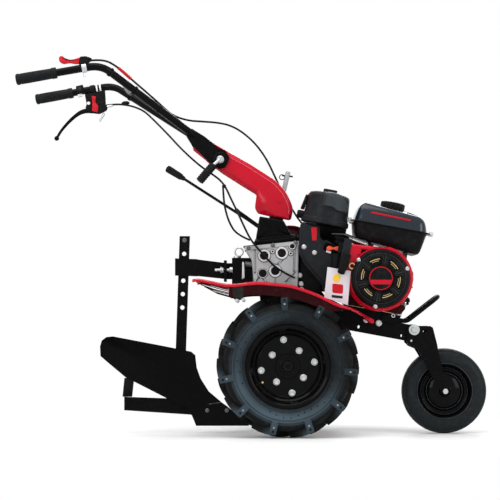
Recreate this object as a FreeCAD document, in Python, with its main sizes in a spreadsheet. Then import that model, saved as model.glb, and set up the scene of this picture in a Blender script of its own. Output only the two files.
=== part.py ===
import FreeCAD, Part
import math
import os
import Sketcher
from FreeCAD import Vector

# Two-wheel walking tractor with a rear plough and a front support wheel.
# +X is forward, +Y is the machine's left, +Z is up; the floor is Z = 0.
# Outlines are given from a datum: the axle line, the crank, the column foot and so on.

SIZES = {
    # whole machine
    "axle_ahead": 107,          # drive axle ahead of the middle of the machine
    "seat_gap": 0.3,            # running fit and seat between curved faces
    "side_gap": 6,              # room between parts that move past each other
    # drive wheels
    "tyre_radius": 240,
    "tyre_width": 105,
    "wheel_track": 490,
    "rim_flange_radius": 141,
    "rim_seat_radius": 126,
    "rim_width": 82,
    "rim_dish_radius": 102,
    "rim_wall": 3.5,
    "tyre_facets": 32,
    "lug_height": 22,
    "lug_foot": 6,              # how far a lug's foot stands out of the sidewall
    "lug_count": 11,            # on each side of the tread
    "lug_sweep": -15,           # degrees that a lug leads from its foot to the middle
    "lug_fall": 7,              # how much lower a lug is at the shoulder
    "lug_thickness": 22,
    "hub_radius": 27,
    "hub_reach": 132,
    "shaft_radius": 15,
    # gearbox
    "case_width": 168,
    "case_top": 651,
    "case_base": 500,
    "case_to_crank": 274,
    "boss_height": 6,
    "leg_width": 92,
    "leg_radius": 72,
    "housing_radius": 40,
    "housing_width": 190,
    "cover_width": 150,
    "cover_flange": 12,
    # frame and engine, tilted nose down about the crank
    "frame_tilt": 10.5,
    "crank_ahead": 318,
    "crank_height": 537,
    "rail_drop": 135.5,         # crank to the rail's top flange
    "rail_depth": 58,
    "rail_spread": 100,         # over the outer faces of the two rails
    "rail_flange": 30,
    "rail_wall": 5,
    "rail_hole_radius": 6.5,
    "rail_front": 182,
    "rail_back": 250,
    "engine_foot": 106,
    "shroud_radius": 113,
    "shroud_front": 160,        # near face of the fan shroud, out to the right
    "shroud_back": 85.3,
    "recoil_radius": 100,
    "recoil_depth": 30,
    "window_count": 6,
    "window_inner": 45,
    "window_outer": 70,
    "block_width": 160,
    "guard_left": 119,          # middle of the belt guard, out to the left
    "guard_width": 54,
    "guard_wall": 3,
    "tank_seam": 182,
    "tank_length": 258,
    "tank_width": 226,
    "tank_upper": 62,
    "tank_lower": 68,
    "tank_seam_rim": 5,
    "cap_radius": 42,
    "cap_depth": 22,
    "cleaner_back": 219,
    "cleaner_side": -72,
    "cleaner_radius": 83,
    "cleaner_top_radius": 70,
    "cleaner_base": 149,
    "cleaner_depth": 103,
    # front support wheel and its fork
    "front_wheel_ahead": 549.5,
    "front_wheel_radius": 148,
    "front_tyre_width": 76,
    "front_rim_radius": 87,
    "fork_pivot_ahead": 154,    # along the rail from the crank
    "fork_pivot_drop": 150.5,
    "fork_wall": 5,
    "fork_bolt_radius": 6,
    # handlebar column
    "column_ahead": -36,
    "column_height": 745,
    "column_lean": 9.5,
    "column_stub_radius": 25,
    "arm_width": 66,
    "arm_wall": 3,
    "handle_back": -230.5,
    "handle_height": 953,
    "yoke_wall": 6,
    "tube_radius": 13,
    "tube_wall": 2.5,
    "grip_radius": 19,
    "grip_length": 135,
    # hitch and plough
    "hitch_pin_back": -172,
    "hitch_pin_radius": 9,
    "hitch_height": 565,
    "drawbar_depth": 56,
    "drawbar_width": 30,
    "stem_back": -362,
    "stem_width": 36,
    "stem_thickness": 14,
    "stem_hole_radius": 7.5,
    "plough_plate": 5,
    "plough_sweep": 150,        # sideways reach of the mouldboard's tail
    "landside_depth": 47,
    "cable_radius": 3.5,
}

doc = FreeCAD.newDocument("WalkingTractor")


class Size:
    """A number together with the sheet formula that gives it."""

    def __init__(self, value, formula):
        self.value = value
        self.formula = formula

    def __add__(self, other):
        other = size(other)
        return Size(self.value + other.value, f"({self.formula} + {other.formula})")

    def __sub__(self, other):
        other = size(other)
        return Size(self.value - other.value, f"({self.formula} - {other.formula})")

    def __mul__(self, other):
        other = size(other)
        return Size(self.value * other.value, f"({self.formula} * {other.formula})")

    def __truediv__(self, other):
        other = size(other)
        return Size(self.value / other.value, f"({self.formula} / {other.formula})")

    def __radd__(self, other):
        return size(other) + self

    def __rsub__(self, other):
        return size(other) - self

    def __rmul__(self, other):
        return size(other) * self

    def __rtruediv__(self, other):
        return size(other) / self

    def __neg__(self):
        return Size(-self.value, f"(0 - {self.formula})")


def size(number):
    if isinstance(number, Size):
        return number
    return Size(float(number), f"({float(number)})")


def sine(angle):
    angle = size(angle)
    return Size(math.sin(math.radians(angle.value)), f"sin({angle.formula} * 1 deg)")


def cosine(angle):
    angle = size(angle)
    return Size(math.cos(math.radians(angle.value)), f"cos({angle.formula} * 1 deg)")


def fill_sheet():
    sheet = doc.addObject("Spreadsheet::Sheet", "Sizes")
    for row, (name, value) in enumerate(SIZES.items(), start=1):
        sheet.set(f"A{row}", name)
        sheet.set(f"B{row}", str(value))
        sheet.setAlias(f"B{row}", name)
    doc.recompute()
    return {name: Size(float(sheet.get(name)), f"Sizes.{name}") for name in SIZES}


S = fill_sheet()
nodes = []


# ---- placing ----------------------------------------------------------------

def place(item, ahead=0, left=0, up=0, tilt=0):
    """Seats an object at a point given from the drive axle, turned nose down by tilt."""
    ahead, left, up, tilt = (size(n) for n in (ahead + S["axle_ahead"], left, up, tilt))
    item.setExpression(
        "Placement",
        f"placement(vector({ahead.formula}; {left.formula}; {up.formula}); "
        f"rotation(vector(0; 1; 0); {tilt.formula}))",
    )


def in_frame(item, left=0):
    """Seats an object in the tilted frame whose origin is the engine's crank line."""
    place(item, S["crank_ahead"], left, S["crank_height"], S["frame_tilt"])


def frame_point(along, above):
    """A point of the tilted frame, as ahead of the axle and above the floor."""
    along, above = size(along), size(above)
    ahead = S["crank_ahead"] + along * cosine(S["frame_tilt"]) + above * sine(S["frame_tilt"])
    up = S["crank_height"] - along * sine(S["frame_tilt"]) + above * cosine(S["frame_tilt"])
    return ahead, up


# ---- sketches and features ---------------------------------------------------

def body(label):
    item = doc.addObject("PartDesign::Body", label)
    item.Label = label
    nodes.append(item)
    return item


def sketch(item, role, name):
    drawing = item.newObject("Sketcher::SketchObject", name)
    plane = next(f for f in item.Origin.OriginFeatures if f.Role == role)
    drawing.AttachmentSupport = [(plane, "")]
    drawing.MapMode = "FlatFace"
    return drawing


def tie(drawing, kind, first, second, value):
    """Adds one driving dimension and binds it to its formula."""
    value = size(value)
    if kind == "Radius":
        index = drawing.addConstraint(Sketcher.Constraint("Radius", first, value.value))
    else:
        index = drawing.addConstraint(Sketcher.Constraint(kind, -1, 1, first, second, value.value))
    drawing.setExpression(f"Constraints[{index}]", value.formula)


def outline(drawing, points):
    """Draws a closed outline of straight runs whose corners are all dimensioned."""
    points = [(size(a), size(b)) for a, b in points]
    start = drawing.GeometryCount
    count = len(points)
    corners = [Vector(a.value, b.value, 0) for a, b in points]
    drawing.addGeometry([Part.LineSegment(corners[i], corners[(i + 1) % count]) for i in range(count)])
    for i in range(count):
        following = start + (i + 1) % count
        drawing.addConstraint(Sketcher.Constraint("Coincident", start + i, 2, following, 1))
        tie(drawing, "DistanceX", start + i, 1, points[i][0])
        tie(drawing, "DistanceY", start + i, 1, points[i][1])


def circle(drawing, across, up, radius):
    across, up, radius = size(across), size(up), size(radius)
    middle = Vector(across.value, up.value, 0)
    index = drawing.addGeometry(Part.Circle(middle, Vector(0, 0, 1), radius.value))
    tie(drawing, "DistanceX", index, 3, across)
    tie(drawing, "DistanceY", index, 3, up)
    tie(drawing, "Radius", index, 0, radius)


def pad(item, drawing, length, midplane=True, backwards=False):
    feature = item.newObject("PartDesign::Pad", item.Name + "_pad")
    feature.Profile = drawing
    feature.setExpression("Length", size(length).formula)
    feature.Midplane = midplane
    feature.Reversed = backwards
    doc.recompute()
    return feature


def bore_through(item, drawing):
    """Cuts a sketch through the whole piece, both ways from its plane."""
    before = item.Shape.Volume
    feature = item.newObject("PartDesign::Pocket", item.Name + "_cut")
    feature.Profile = drawing
    feature.Type = 1
    feature.Midplane = True
    doc.recompute()
    if not feature.Shape.Volume < before:
        raise ValueError(f"the cut in {item.Label} removes nothing")
    return feature


def hollow_out(item, drawing, depth, wall):
    """Cuts a pocket that leaves one wall: on the left side for a wall above zero, else the right."""
    drawing.setExpression("AttachmentOffset.Base.z", size(wall).formula)
    drawing.recompute()
    cut = item.newObject("PartDesign::Pocket", item.Name + "_hollow")
    cut.Profile = drawing
    cut.setExpression("Length", size(depth).formula)
    cut.Midplane = True
    doc.recompute()


def revolve(item, drawing, cut=False):
    kind = "PartDesign::Groove" if cut else "PartDesign::Revolution"
    feature = item.newObject(kind, item.Name + "_turn")
    feature.Profile = drawing
    feature.ReferenceAxis = (drawing, ["V_Axis"])
    feature.Angle = 360
    doc.recompute()
    return feature


def round_edges(item, radius, wanted):
    """Rounds the edges of the tip that the test picks."""
    tip = item.Tip
    names = [f"Edge{i + 1}" for i, edge in enumerate(tip.Shape.Edges) if wanted(edge)]
    feature = item.newObject("PartDesign::Fillet", item.Name + "_round")
    feature.Base = (tip, names)
    feature.setExpression("Radius", size(radius).formula)
    doc.recompute()
    return feature


def runs_along(axis):
    """A test for straight edges that run along X, Y or Z."""
    def wanted(edge):
        if edge.Curve.TypeId != "Part::GeomLine":
            return False
        return abs(getattr(edge.tangentAt(edge.FirstParameter), axis)) > 0.99
    return wanted


def is_end_edge(edge, side):
    """A test for edges that lie in either end face of a piece pushed out both ways from its plane."""
    box = edge.BoundBox
    return abs(abs(box.YMin) - side) < 0.01 and abs(box.YMax - box.YMin) < 0.01


def side_plate(label, points, width, holes=()):
    """A plate cut to a side outline, as thick as width, with round holes through it."""
    item = body(label)
    drawing = sketch(item, "XZ_Plane", label + "_outline")
    outline(drawing, points)
    pad(item, drawing, width)
    if holes:
        drilled = sketch(item, "XZ_Plane", label + "_holes")
        for across, up, radius in holes:
            circle(drilled, across, up, radius)
        bore_through(item, drilled)
    return item


def turned(label, points):
    """A piece turned about its own Y axis; points are (radius, along Y)."""
    item = body(label)
    drawing = sketch(item, "XY_Plane", label + "_profile")
    outline(drawing, points)
    revolve(item, drawing)
    return item


def feature(label, shape):
    """A piece whose shape comes from Part's own functions and the sheet's sizes."""
    item = doc.addObject("Part::Feature", label)
    item.Label = label
    item.Shape = shape
    nodes.append(item)
    return item


def pair(label, items):
    """Two like pieces on one body, written as one node of two solids."""
    both = doc.addObject("Part::Compound", label)
    both.Label = label
    both.Links = items
    for item in items:
        nodes.remove(item)
    nodes.append(both)
    return both


# ---- paths and tubes ---------------------------------------------------------

def bent_path(points, bend=None):
    """Straight runs joined by tangent arcs. Returns the wire and the arcs' radii."""
    points = [Vector(*p) for p in points]
    edges = []
    radii = []
    start = points[0]
    for before, corner, after in zip(points, points[1:], points[2:]):
        back = (before - corner).normalize()
        on = (after - corner).normalize()
        half_turn = (math.pi - back.getAngle(on)) / 2
        shorter = min((before - corner).Length, (after - corner).Length)
        radius = 0.45 * shorter / math.tan(half_turn)
        if bend:
            radius = min(radius, bend)
        setback = radius * math.tan(half_turn)
        enter = corner + back * setback
        leave = corner + on * setback
        middle_way = (back + on).normalize()
        centre = corner + middle_way * (radius / math.cos(half_turn))
        edges.append(Part.LineSegment(start, enter).toShape())
        edges.append(Part.Arc(enter, centre - middle_way * radius, leave).toShape())
        radii.append(radius)
        start = leave
    edges.append(Part.LineSegment(start, points[-1]).toShape())
    return Part.Wire(edges), radii


def tube(points, radius, bend=None, wall=None):
    """A round bar or tube along a bent path."""
    path, radii = bent_path(points, bend)
    begin = Vector(*points[0])
    heading = Vector(*points[1]) - begin
    def bar(size_across):
        ring = Part.Wire([Part.makeCircle(size_across, begin, heading)])
        return path.makePipeShell([ring], True, True)
    solid = bar(radius)
    if wall:
        solid = solid.cut(bar(radius - wall))
    return solid, path, radii


def ahead(points):
    """Moves points given from the drive axle to the machine's own origin."""
    return [(x + S["axle_ahead"].value, y, z) for x, y, z in points]


def rod(start, end, radius):
    start, end = Vector(*start), Vector(*end)
    return Part.makeCylinder(radius, (end - start).Length, start, end - start)


# ---- drive wheels ------------------------------------------------------------

AXLE_UP = S["tyre_radius"]
HALF_TRACK = S["wheel_track"] / 2


def mirrored(points):
    """Completes a profile with its mirror image across the wheel's middle."""
    return points + [(radius, -along) for radius, along in reversed(points)]


def polar(radius, angle, along):
    """A point of the wheel's own frame, whose axis is Y."""
    turn = math.radians(angle)
    return Vector(radius * math.cos(turn), along, radius * math.sin(turn))


def block_between(low, high):
    """A solid with four corners in each end and every side split into two triangles."""
    count = len(low)
    triangles = [(low[0], low[1], low[2]), (low[0], low[2], low[3]),
                 (high[0], high[2], high[1]), (high[0], high[3], high[2])]
    for i in range(count):
        j = (i + 1) % count
        triangles.append((low[i], high[j], low[j]))
        triangles.append((low[i], high[i], high[j]))
    faces = [Part.Face(Part.makePolygon([p, q, r, p])) for p, q, r in triangles]
    solid = Part.Solid(Part.makeShell(faces))
    if solid.Volume < 0:
        solid.reverse()
    return solid


def faceted_ring(profile, facets):
    """A closed profile of (radius, along) turned about Y in flat facets, as one solid."""
    profile = [(size(r).value, size(u).value) for r, u in profile]
    rings = [[polar(r, 360 * i / facets, u) for i in range(facets)] for r, u in profile]
    faces = []
    for number, ring in enumerate(rings):
        after = rings[(number + 1) % len(rings)]
        for i in range(facets):
            j = (i + 1) % facets
            faces.append(Part.Face(Part.makePolygon([ring[i], ring[j], after[j], after[i], ring[i]])))
    solid = Part.Solid(Part.makeShell(faces))
    if solid.Volume < 0:
        solid.reverse()
    return solid


def make_lug(angle, side):
    """One tread bar from the middle of the tread to the shoulder, with its foot on the sidewall."""
    top = S["tyre_radius"].value
    root = top - S["lug_height"].value - 12
    half = S["tyre_width"].value / 2
    thick = math.degrees(S["lug_thickness"].value / 2 / top)
    wide = 1.35 * thick
    sweep = S["lug_sweep"].value
    fall = S["lug_fall"].value
    shoulder = (half - 7) * side
    middle = -5 * side
    bar = block_between(
        [polar(root, angle - wide, shoulder), polar(root, angle + wide, shoulder),
         polar(root, angle + sweep + wide, middle), polar(root, angle + sweep - wide, middle)],
        [polar(top - fall, angle - thick, shoulder), polar(top - fall, angle + thick, shoulder),
         polar(top, angle + sweep + thick, middle), polar(top, angle + sweep - thick, middle)])
    inside = (half - 12) * side
    foot = block_between(
        [polar(top - 54, angle - wide, inside), polar(top - 54, angle + wide, inside),
         polar(top - fall - 1, angle + thick, inside), polar(top - fall - 1, angle - thick, inside)],
        [polar(top - 48, angle - wide + 1, half * side), polar(top - 48, angle + wide - 1, half * side),
         polar(top - fall - 8, angle + thick - 0.3, (half - 1) * side),
         polar(top - fall - 8, angle - thick + 0.3, (half - 1) * side)])
    return bar.fuse(foot)


def make_tyre(side_name, side):
    half = S["tyre_width"] / 2 - S["lug_foot"]
    seat = (S["rim_seat_radius"] + S["seat_gap"]) / cosine(180 / S["tyre_facets"])
    bead = S["rim_width"] / 2 - S["rim_wall"] - S["seat_gap"]
    top = S["tyre_radius"] - S["lug_height"]
    outer = [
        (seat, bead - 5),
        (S["rim_flange_radius"] + 2, bead),
        (S["rim_flange_radius"] + 14, half - 3),
        (top - 40, half),
        (top - 12, half - 4),
        (top, half - 20),
    ]
    carcass = faceted_ring(mirrored(outer), int(S["tyre_facets"].value))
    pitch = 360 / S["lug_count"].value
    lugs = []
    for number in range(int(S["lug_count"].value)):
        lugs.append(make_lug(pitch * number - 5, -1))
        lugs.append(make_lug(pitch * (number + 0.5) - 5, 1))
    tyre = feature("tyre_" + side_name, carcass.fuse(lugs).removeSplitter())
    place(tyre, 0, side * HALF_TRACK, AXLE_UP)


def make_rim(side_name, side):
    wall = S["rim_wall"]
    half = S["rim_width"] / 2
    seat = S["rim_seat_radius"]
    dish = S["rim_dish_radius"]
    bore = S["shaft_radius"] + S["seat_gap"]
    outside = [
        (S["hub_radius"], wall),
        (dish - 3, wall),
        (seat - 4, half - wall - 2),
        (seat, half),
        (S["rim_flange_radius"], half),
        (S["rim_flange_radius"], half - wall),
        (seat + 3.5, half - wall),
        (seat, half - wall - 4),
        (dish + 1, 0),
    ]
    inside = [(radius, -along) for radius, along in reversed(outside[:-1])]
    hub = [(S["hub_radius"], -S["hub_reach"]), (bore, -S["hub_reach"]), (bore, 12), (S["hub_radius"], 12)]
    profile = [(radius, along * side) for radius, along in outside + inside + hub]
    rim = turned("wheel_rim_" + side_name, profile)
    place(rim, 0, side * HALF_TRACK, AXLE_UP)


def make_drive_wheels():
    for side_name, side in (("right", -1), ("left", 1)):
        make_tyre(side_name, side)
        make_rim(side_name, side)
    end = HALF_TRACK + 14
    radius = S["shaft_radius"]
    shaft = turned("axle_shaft", [(0, -end), (radius, -end), (radius, end), (0, end)])
    place(shaft, 0, 0, AXLE_UP)


# ---- gearbox -----------------------------------------------------------------

def make_gearbox():
    top = S["case_top"]
    front = S["crank_ahead"] - S["case_to_crank"]
    case = side_plate("gearbox_case", [
        (-143, top - 14), (-143, top), (front, top + 20), (front, top + 4),
        (front - 6, S["case_base"]), (-112, S["case_base"]), (-121, top - 50),
    ], S["case_width"])
    bosses = sketch(case, "XZ_Plane", "case_bosses")
    for across, up, radius in ((-78, 617, 21), (-17, 626, 21), (-40, 564, 21), (-83, 556, 16)):
        circle(bosses, across, up, radius)
    reach = S["case_width"] / 2 + S["boss_height"]
    pad(case, bosses, reach, midplane=False)
    small = sketch(case, "XZ_Plane", "case_small_bosses")
    for across, up, radius in ((-49, 631, 7), (18, 653, 9), (14, 625, 6)):
        circle(small, across, up, radius)
    pad(case, small, reach - 2, midplane=False)
    place(case)

    rear = -(S["rail_back"] + 2)
    front_high = frame_point(rear, -S["rail_drop"] + 20)
    front_low = frame_point(rear, -S["rail_drop"] - S["rail_depth"] - 12)
    leg = side_plate("gearbox_leg", [
        (-95, S["case_base"]), (32, S["case_base"]), front_high, front_low,
        (S["leg_radius"] - 2, AXLE_UP), (-S["leg_radius"] + 2, AXLE_UP),
    ], S["leg_width"])
    for name, radius, width in (("barrel", S["leg_radius"], S["leg_width"]),
                                ("housing", S["housing_radius"], S["housing_width"])):
        drawing = sketch(leg, "XZ_Plane", "leg_" + name)
        circle(drawing, 0, AXLE_UP, radius)
        pad(leg, drawing, width)
    bore = sketch(leg, "XZ_Plane", "leg_bore")
    circle(bore, 0, AXLE_UP, S["shaft_radius"] + S["seat_gap"])
    bore_through(leg, bore)
    place(leg)


def column_point(along, above):
    """A point of the column's leaning frame, whose origin is on the shift cover's top."""
    lean = S["column_lean"]
    x = S["column_ahead"] + along * cosine(lean) + above * sine(lean)
    z = S["column_height"] - along * sine(lean) + above * cosine(lean)
    return x, z


def make_shift_cover():
    top = S["case_top"] + S["seat_gap"]
    thick = S["cover_flange"]
    front = S["crank_ahead"] - S["case_to_crank"] - 2
    slope = 20 / (front + 145)
    def seat(x):
        return top + (x + 143) * slope
    cover = side_plate("shift_cover", [
        (-114, seat(-114)), (front, seat(front)), (front, seat(front) + thick), (-114, seat(-114) + thick),
    ], S["cover_width"])
    drawing = sketch(cover, "XZ_Plane", "cover_dome")
    outline(drawing, [
        (-108, seat(-108) + thick), (14, seat(14) + thick), column_point(26, 0), column_point(-60, 0),
    ])
    pad(cover, drawing, S["cover_width"] * 0.64)
    place(cover)

    stub = body("column_stub")
    drawing = sketch(stub, "XZ_Plane", "column_stub_profile")
    radius = S["column_stub_radius"]
    outline(drawing, [(0, 0), (radius, 0), (radius, 28), (12, 28), (12, 74), (0, 74)])
    revolve(stub, drawing)
    place(stub, S["column_ahead"], 0, S["column_height"], S["column_lean"])


def make_gear_lever():
    root = (-103.6, 16.9, 727.5)
    knee = (-172, 34, 777)
    end = (-366, 80, 896)
    tip = (-425, 94, 928)
    thin = rod(*ahead([root, end]), 5)
    sleeve = rod(*ahead([root, knee]), 7.5)
    grip = rod(*ahead([end, tip]), 13)
    feature("gear_lever", thin.fuse([sleeve, grip]))


# ---- frame -------------------------------------------------------------------

def make_rail(side_name, side):
    item = body("rail_" + side_name)
    drawing = sketch(item, "YZ_Plane", item.Name + "_section")
    face = side * S["rail_spread"] / 2
    web = face - side * S["rail_wall"]
    lip = face - side * S["rail_flange"]
    top = -S["rail_drop"]
    low = top - S["rail_depth"]
    wall = S["rail_wall"]
    outline(drawing, [
        (face, low), (face, top), (lip, top), (lip, top - wall),
        (web, top - wall), (web, low + wall), (lip, low + wall), (lip, low),
    ])
    pad(item, drawing, S["rail_back"] + S["rail_front"], midplane=False)
    holes = sketch(item, "XZ_Plane", item.Name + "_holes")
    middle = top - S["rail_depth"] / 2
    circle(holes, S["rail_back"] - 34, middle - 11, S["rail_hole_radius"])
    circle(holes, S["rail_back"] + 118, middle - 14, S["rail_hole_radius"])
    pivot = S["rail_back"] + S["fork_pivot_ahead"]
    circle(holes, pivot, -S["fork_pivot_drop"], S["fork_bolt_radius"] + S["seat_gap"])
    bore_through(item, holes)
    ahead_by, up = frame_point(-S["rail_back"], 0)
    place(item, ahead_by, 0, up, S["frame_tilt"])
    return item


def make_frame():
    pair("frame_rails", [make_rail("right", -1), make_rail("left", 1)])
    between = S["rail_spread"] - 2 * S["rail_wall"] - 2 * S["seat_gap"]
    top = -S["rail_drop"] - S["rail_wall"] - S["seat_gap"]
    low = -S["rail_drop"] - S["rail_depth"] + S["rail_wall"] + S["seat_gap"]
    back = -(S["rail_back"] + 2)
    mount = side_plate("frame_mount", [(back, low), (-168, low), (-168, top), (back, top)], between)
    drawing = sketch(mount, "XZ_Plane", "mount_web")
    outline(drawing, [(back, low), (-101, low), (-101, -112), (-168, -92), (-222, -42), (back, -42)])
    pad(mount, drawing, S["rail_spread"] - 2 * S["rail_flange"] - 4)
    in_frame(mount)

    seat = -S["rail_drop"]
    foot = -S["engine_foot"]
    bearer = side_plate("engine_bearer", [
        (-100, seat), (74, seat), (74, foot - 8), (102, foot - 8), (102, foot), (-100, foot),
    ], S["rail_spread"])
    in_frame(bearer)

    half = between / 2
    spacer = turned("nose_spacer", [
        (S["fork_bolt_radius"] + S["seat_gap"], -half), (9.6, -half), (9.6, half),
        (S["fork_bolt_radius"] + S["seat_gap"], half),
    ])
    ahead_by, up = frame_point(S["fork_pivot_ahead"], -S["fork_pivot_drop"])
    place(spacer, ahead_by, 0, up)

    reach = S["rail_spread"].value / 2 - 8
    x0, z0 = (n.value for n in frame_point(88, -S["rail_drop"] + 8.3))
    x1, z1 = (n.value for n in frame_point(124, -S["rail_drop"] + 8.3))
    right = [(x0, -reach, z0), (x1, -reach, z1), (528, -reach, 476)]
    left = [(x, -y, z) for x, y, z in reversed(right)]
    loop, path, radii = tube(ahead(right + left), 8, bend=34)
    feature("lifting_loop", loop)


# ---- engine ------------------------------------------------------------------

def make_engine():
    foot = -S["engine_foot"]
    block = side_plate("engine_block", [
        (-95, foot), (100, foot), (100, 52), (84, 70), (-80, 70), (-95, 56),
    ], S["block_width"])
    low = S["tank_seam"] - S["tank_lower"]
    for name, along, rear_top, front_top in (("rear", -62, 7.9, 6.2), ("front", 70, -5.9, -6.9)):
        drawing = sketch(block, "XZ_Plane", "tank_post_" + name)
        outline(drawing, [(along, 60), (along + 16, 60),
                          (along + 16, low + front_top), (along, low + rear_top)])
        pad(block, drawing, 60)
    in_frame(block, -5)

    head = side_plate("cylinder_head", [
        (-95.3, -88), (-95.3, 50), (-200, 95.7), (-222, 84), (-240, 26), (-236, -4), (-160, -80),
    ], 112)
    in_frame(head, -4)

    front = S["shroud_front"]
    depth = front - S["shroud_back"]
    middle = -(front + S["shroud_back"]) / 2
    shroud = body("engine_shroud")
    drawing = sketch(shroud, "XZ_Plane", "shroud_ring")
    circle(drawing, 0, 0, S["shroud_radius"])
    pad(shroud, drawing, depth)
    drawing = sketch(shroud, "XZ_Plane", "shroud_duct")
    outline(drawing, [(12, 108), (-125, 98), (-136, 68), (-136, 10), (-100, -48), (0, 0)])
    pad(shroud, drawing, depth)
    wall = S["guard_wall"]
    drawing = sketch(shroud, "XZ_Plane", "shroud_ring_hollow")
    circle(drawing, 0, 0, S["shroud_radius"] - wall)
    hollow_out(shroud, drawing, depth, -wall)
    drawing = sketch(shroud, "XZ_Plane", "shroud_duct_hollow")
    outline(drawing, [(12, 105), (-122, 95), (-133, 68), (-133, 12), (-97, -45), (0, 0)])
    hollow_out(shroud, drawing, depth, -wall)
    in_frame(shroud, middle)

    deep = S["recoil_depth"]
    r = S["recoil_radius"]
    cover = turned("recoil_dish", [
        (0, 0), (r, 0), (r, -deep + 14), (r - 5, -deep + 7), (r - 28, -deep + 2),
        (42, -deep + 2), (39, -deep), (0, -deep),
    ])
    nodes.remove(cover)
    windows = []
    count = int(S["window_count"].value)
    for number in range(count):
        turn = 360 / count * number + 90 / count
        windows.append(Part.makePolygon([
            polar(radius, turn + share * 240 / count, -deep.value - 1)
            for radius, share in ((S["window_inner"].value, 0), (S["window_inner"].value, 0.5),
                                  (S["window_inner"].value, 1), (S["window_outer"].value, 1),
                                  (S["window_outer"].value, 0.67), (S["window_outer"].value, 0.33),
                                  (S["window_outer"].value, 0), (S["window_inner"].value, 0))]))
    tools = doc.addObject("Part::Feature", "recoil_windows")
    tools.Shape = Part.makeCompound([Part.Face(w).extrude(Vector(0, 11, 0)) for w in windows])
    recoil = doc.addObject("Part::Cut", "recoil_starter")
    recoil.Label = "recoil_starter"
    recoil.Base = cover
    recoil.Tool = tools
    nodes.append(recoil)
    in_frame(recoil, -front)

    handle = side_plate("starter_handle", [(-13, -38), (13, -38), (13, 38), (-13, 38)], 20)
    round_edges(handle, 8, runs_along("y"))
    ahead_by, up = frame_point(-131, 27)
    place(handle, ahead_by, -(front + 16.1), up, 20)

    strap = side_plate("starter_strap", [(-146, -70), (-120, -70), (-118, 112), (-145, 112)], 4)
    in_frame(strap, -(front + 2.3))

    card = side_plate("hang_tag", [(0, 0), (79, -14), (69, -130), (-12, -104)], 1.2)
    place(card, S["crank_ahead"] - 180.5, -(front + 5.2), S["crank_height"] + 39)


def make_tank():
    seam = S["tank_seam"]
    half = S["tank_length"] / 2
    upper = side_plate("fuel_tank", [
        (-half, seam), (half, seam), (half - 4, seam + 22), (half - 34, seam + 48),
        (half - 80, seam + S["tank_upper"]), (-half + 44, seam + S["tank_upper"]),
        (-half + 18, seam + S["tank_upper"] - 12),
    ], S["tank_width"])
    drawing = sketch(upper, "XZ_Plane", "tank_lower_half")
    low = seam - S["tank_lower"]
    outline(drawing, [
        (-half, seam), (-half + 24, low + 12), (half - 60, low - 6), (half - 16, low - 8), (half, seam),
    ])
    pad(upper, drawing, S["tank_width"])
    round_edges(upper, 16, lambda edge: is_end_edge(edge, S["tank_width"].value / 2))
    drawing = sketch(upper, "XZ_Plane", "tank_rim")
    rim = S["tank_seam_rim"]
    outline(drawing, [(-half - 7, seam - rim / 2), (half + 7, seam - rim / 2),
                      (half + 7, seam + rim / 2), (-half - 7, seam + rim / 2)])
    pad(upper, drawing, S["tank_width"] + 14)
    place(upper, *[frame_point(6, 0)[0], -17, frame_point(6, 0)[1], S["frame_tilt"]])

    cap = body("fuel_cap")
    drawing = sketch(cap, "XZ_Plane", "cap_profile")
    top = seam + S["tank_upper"] + S["seat_gap"]
    r = S["cap_radius"]
    outline(drawing, [(0, top), (r - 6, top), (r, top + 4), (r, top + S["cap_depth"] - 4),
                      (r - 4, top + S["cap_depth"]), (0, top + S["cap_depth"])])
    revolve(cap, drawing)
    place(cap, *[frame_point(6, 0)[0], -17, frame_point(6, 0)[1], S["frame_tilt"]])


def make_air_cleaner():
    cleaner = body("air_cleaner")
    drawing = sketch(cleaner, "XZ_Plane", "canister_profile")
    low = S["cleaner_base"]
    top = low + S["cleaner_depth"]
    r = S["cleaner_radius"]
    outline(drawing, [(0, low), (r - 4, low), (r, low + 5), (r, low + 16), (r - 4, low + 21),
                      (S["cleaner_top_radius"], top - 8), (S["cleaner_top_radius"] - 8, top),
                      (24, top), (22, top + 9), (0, top + 9)])
    revolve(cleaner, drawing)
    ahead_by, up = frame_point(-S["cleaner_back"], 0)
    place(cleaner, ahead_by, S["cleaner_side"], up, S["frame_tilt"])

    gap = S["seat_gap"]
    duct = side_plate("air_duct", [
        (-300, low - gap), (-286, 39), (-259, -3), (-166, -76), (-141, -76), (-141, 84),
        (-178, 96), (-182, low - gap),
    ], 56)
    in_frame(duct, -88.3)

    carburettor = side_plate("carburettor", [
        (-176, 85.6), (-122, 62), (-122, 134), (-144, low - gap), (-176, low - gap),
    ], 48)
    in_frame(carburettor, -34)


def make_muffler():
    muffler = side_plate("muffler", [(-246, 96), (-136, 96), (-136, 196), (-246, 196)], 66)
    round_edges(muffler, 24, runs_along("y"))
    in_frame(muffler, 52)


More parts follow.
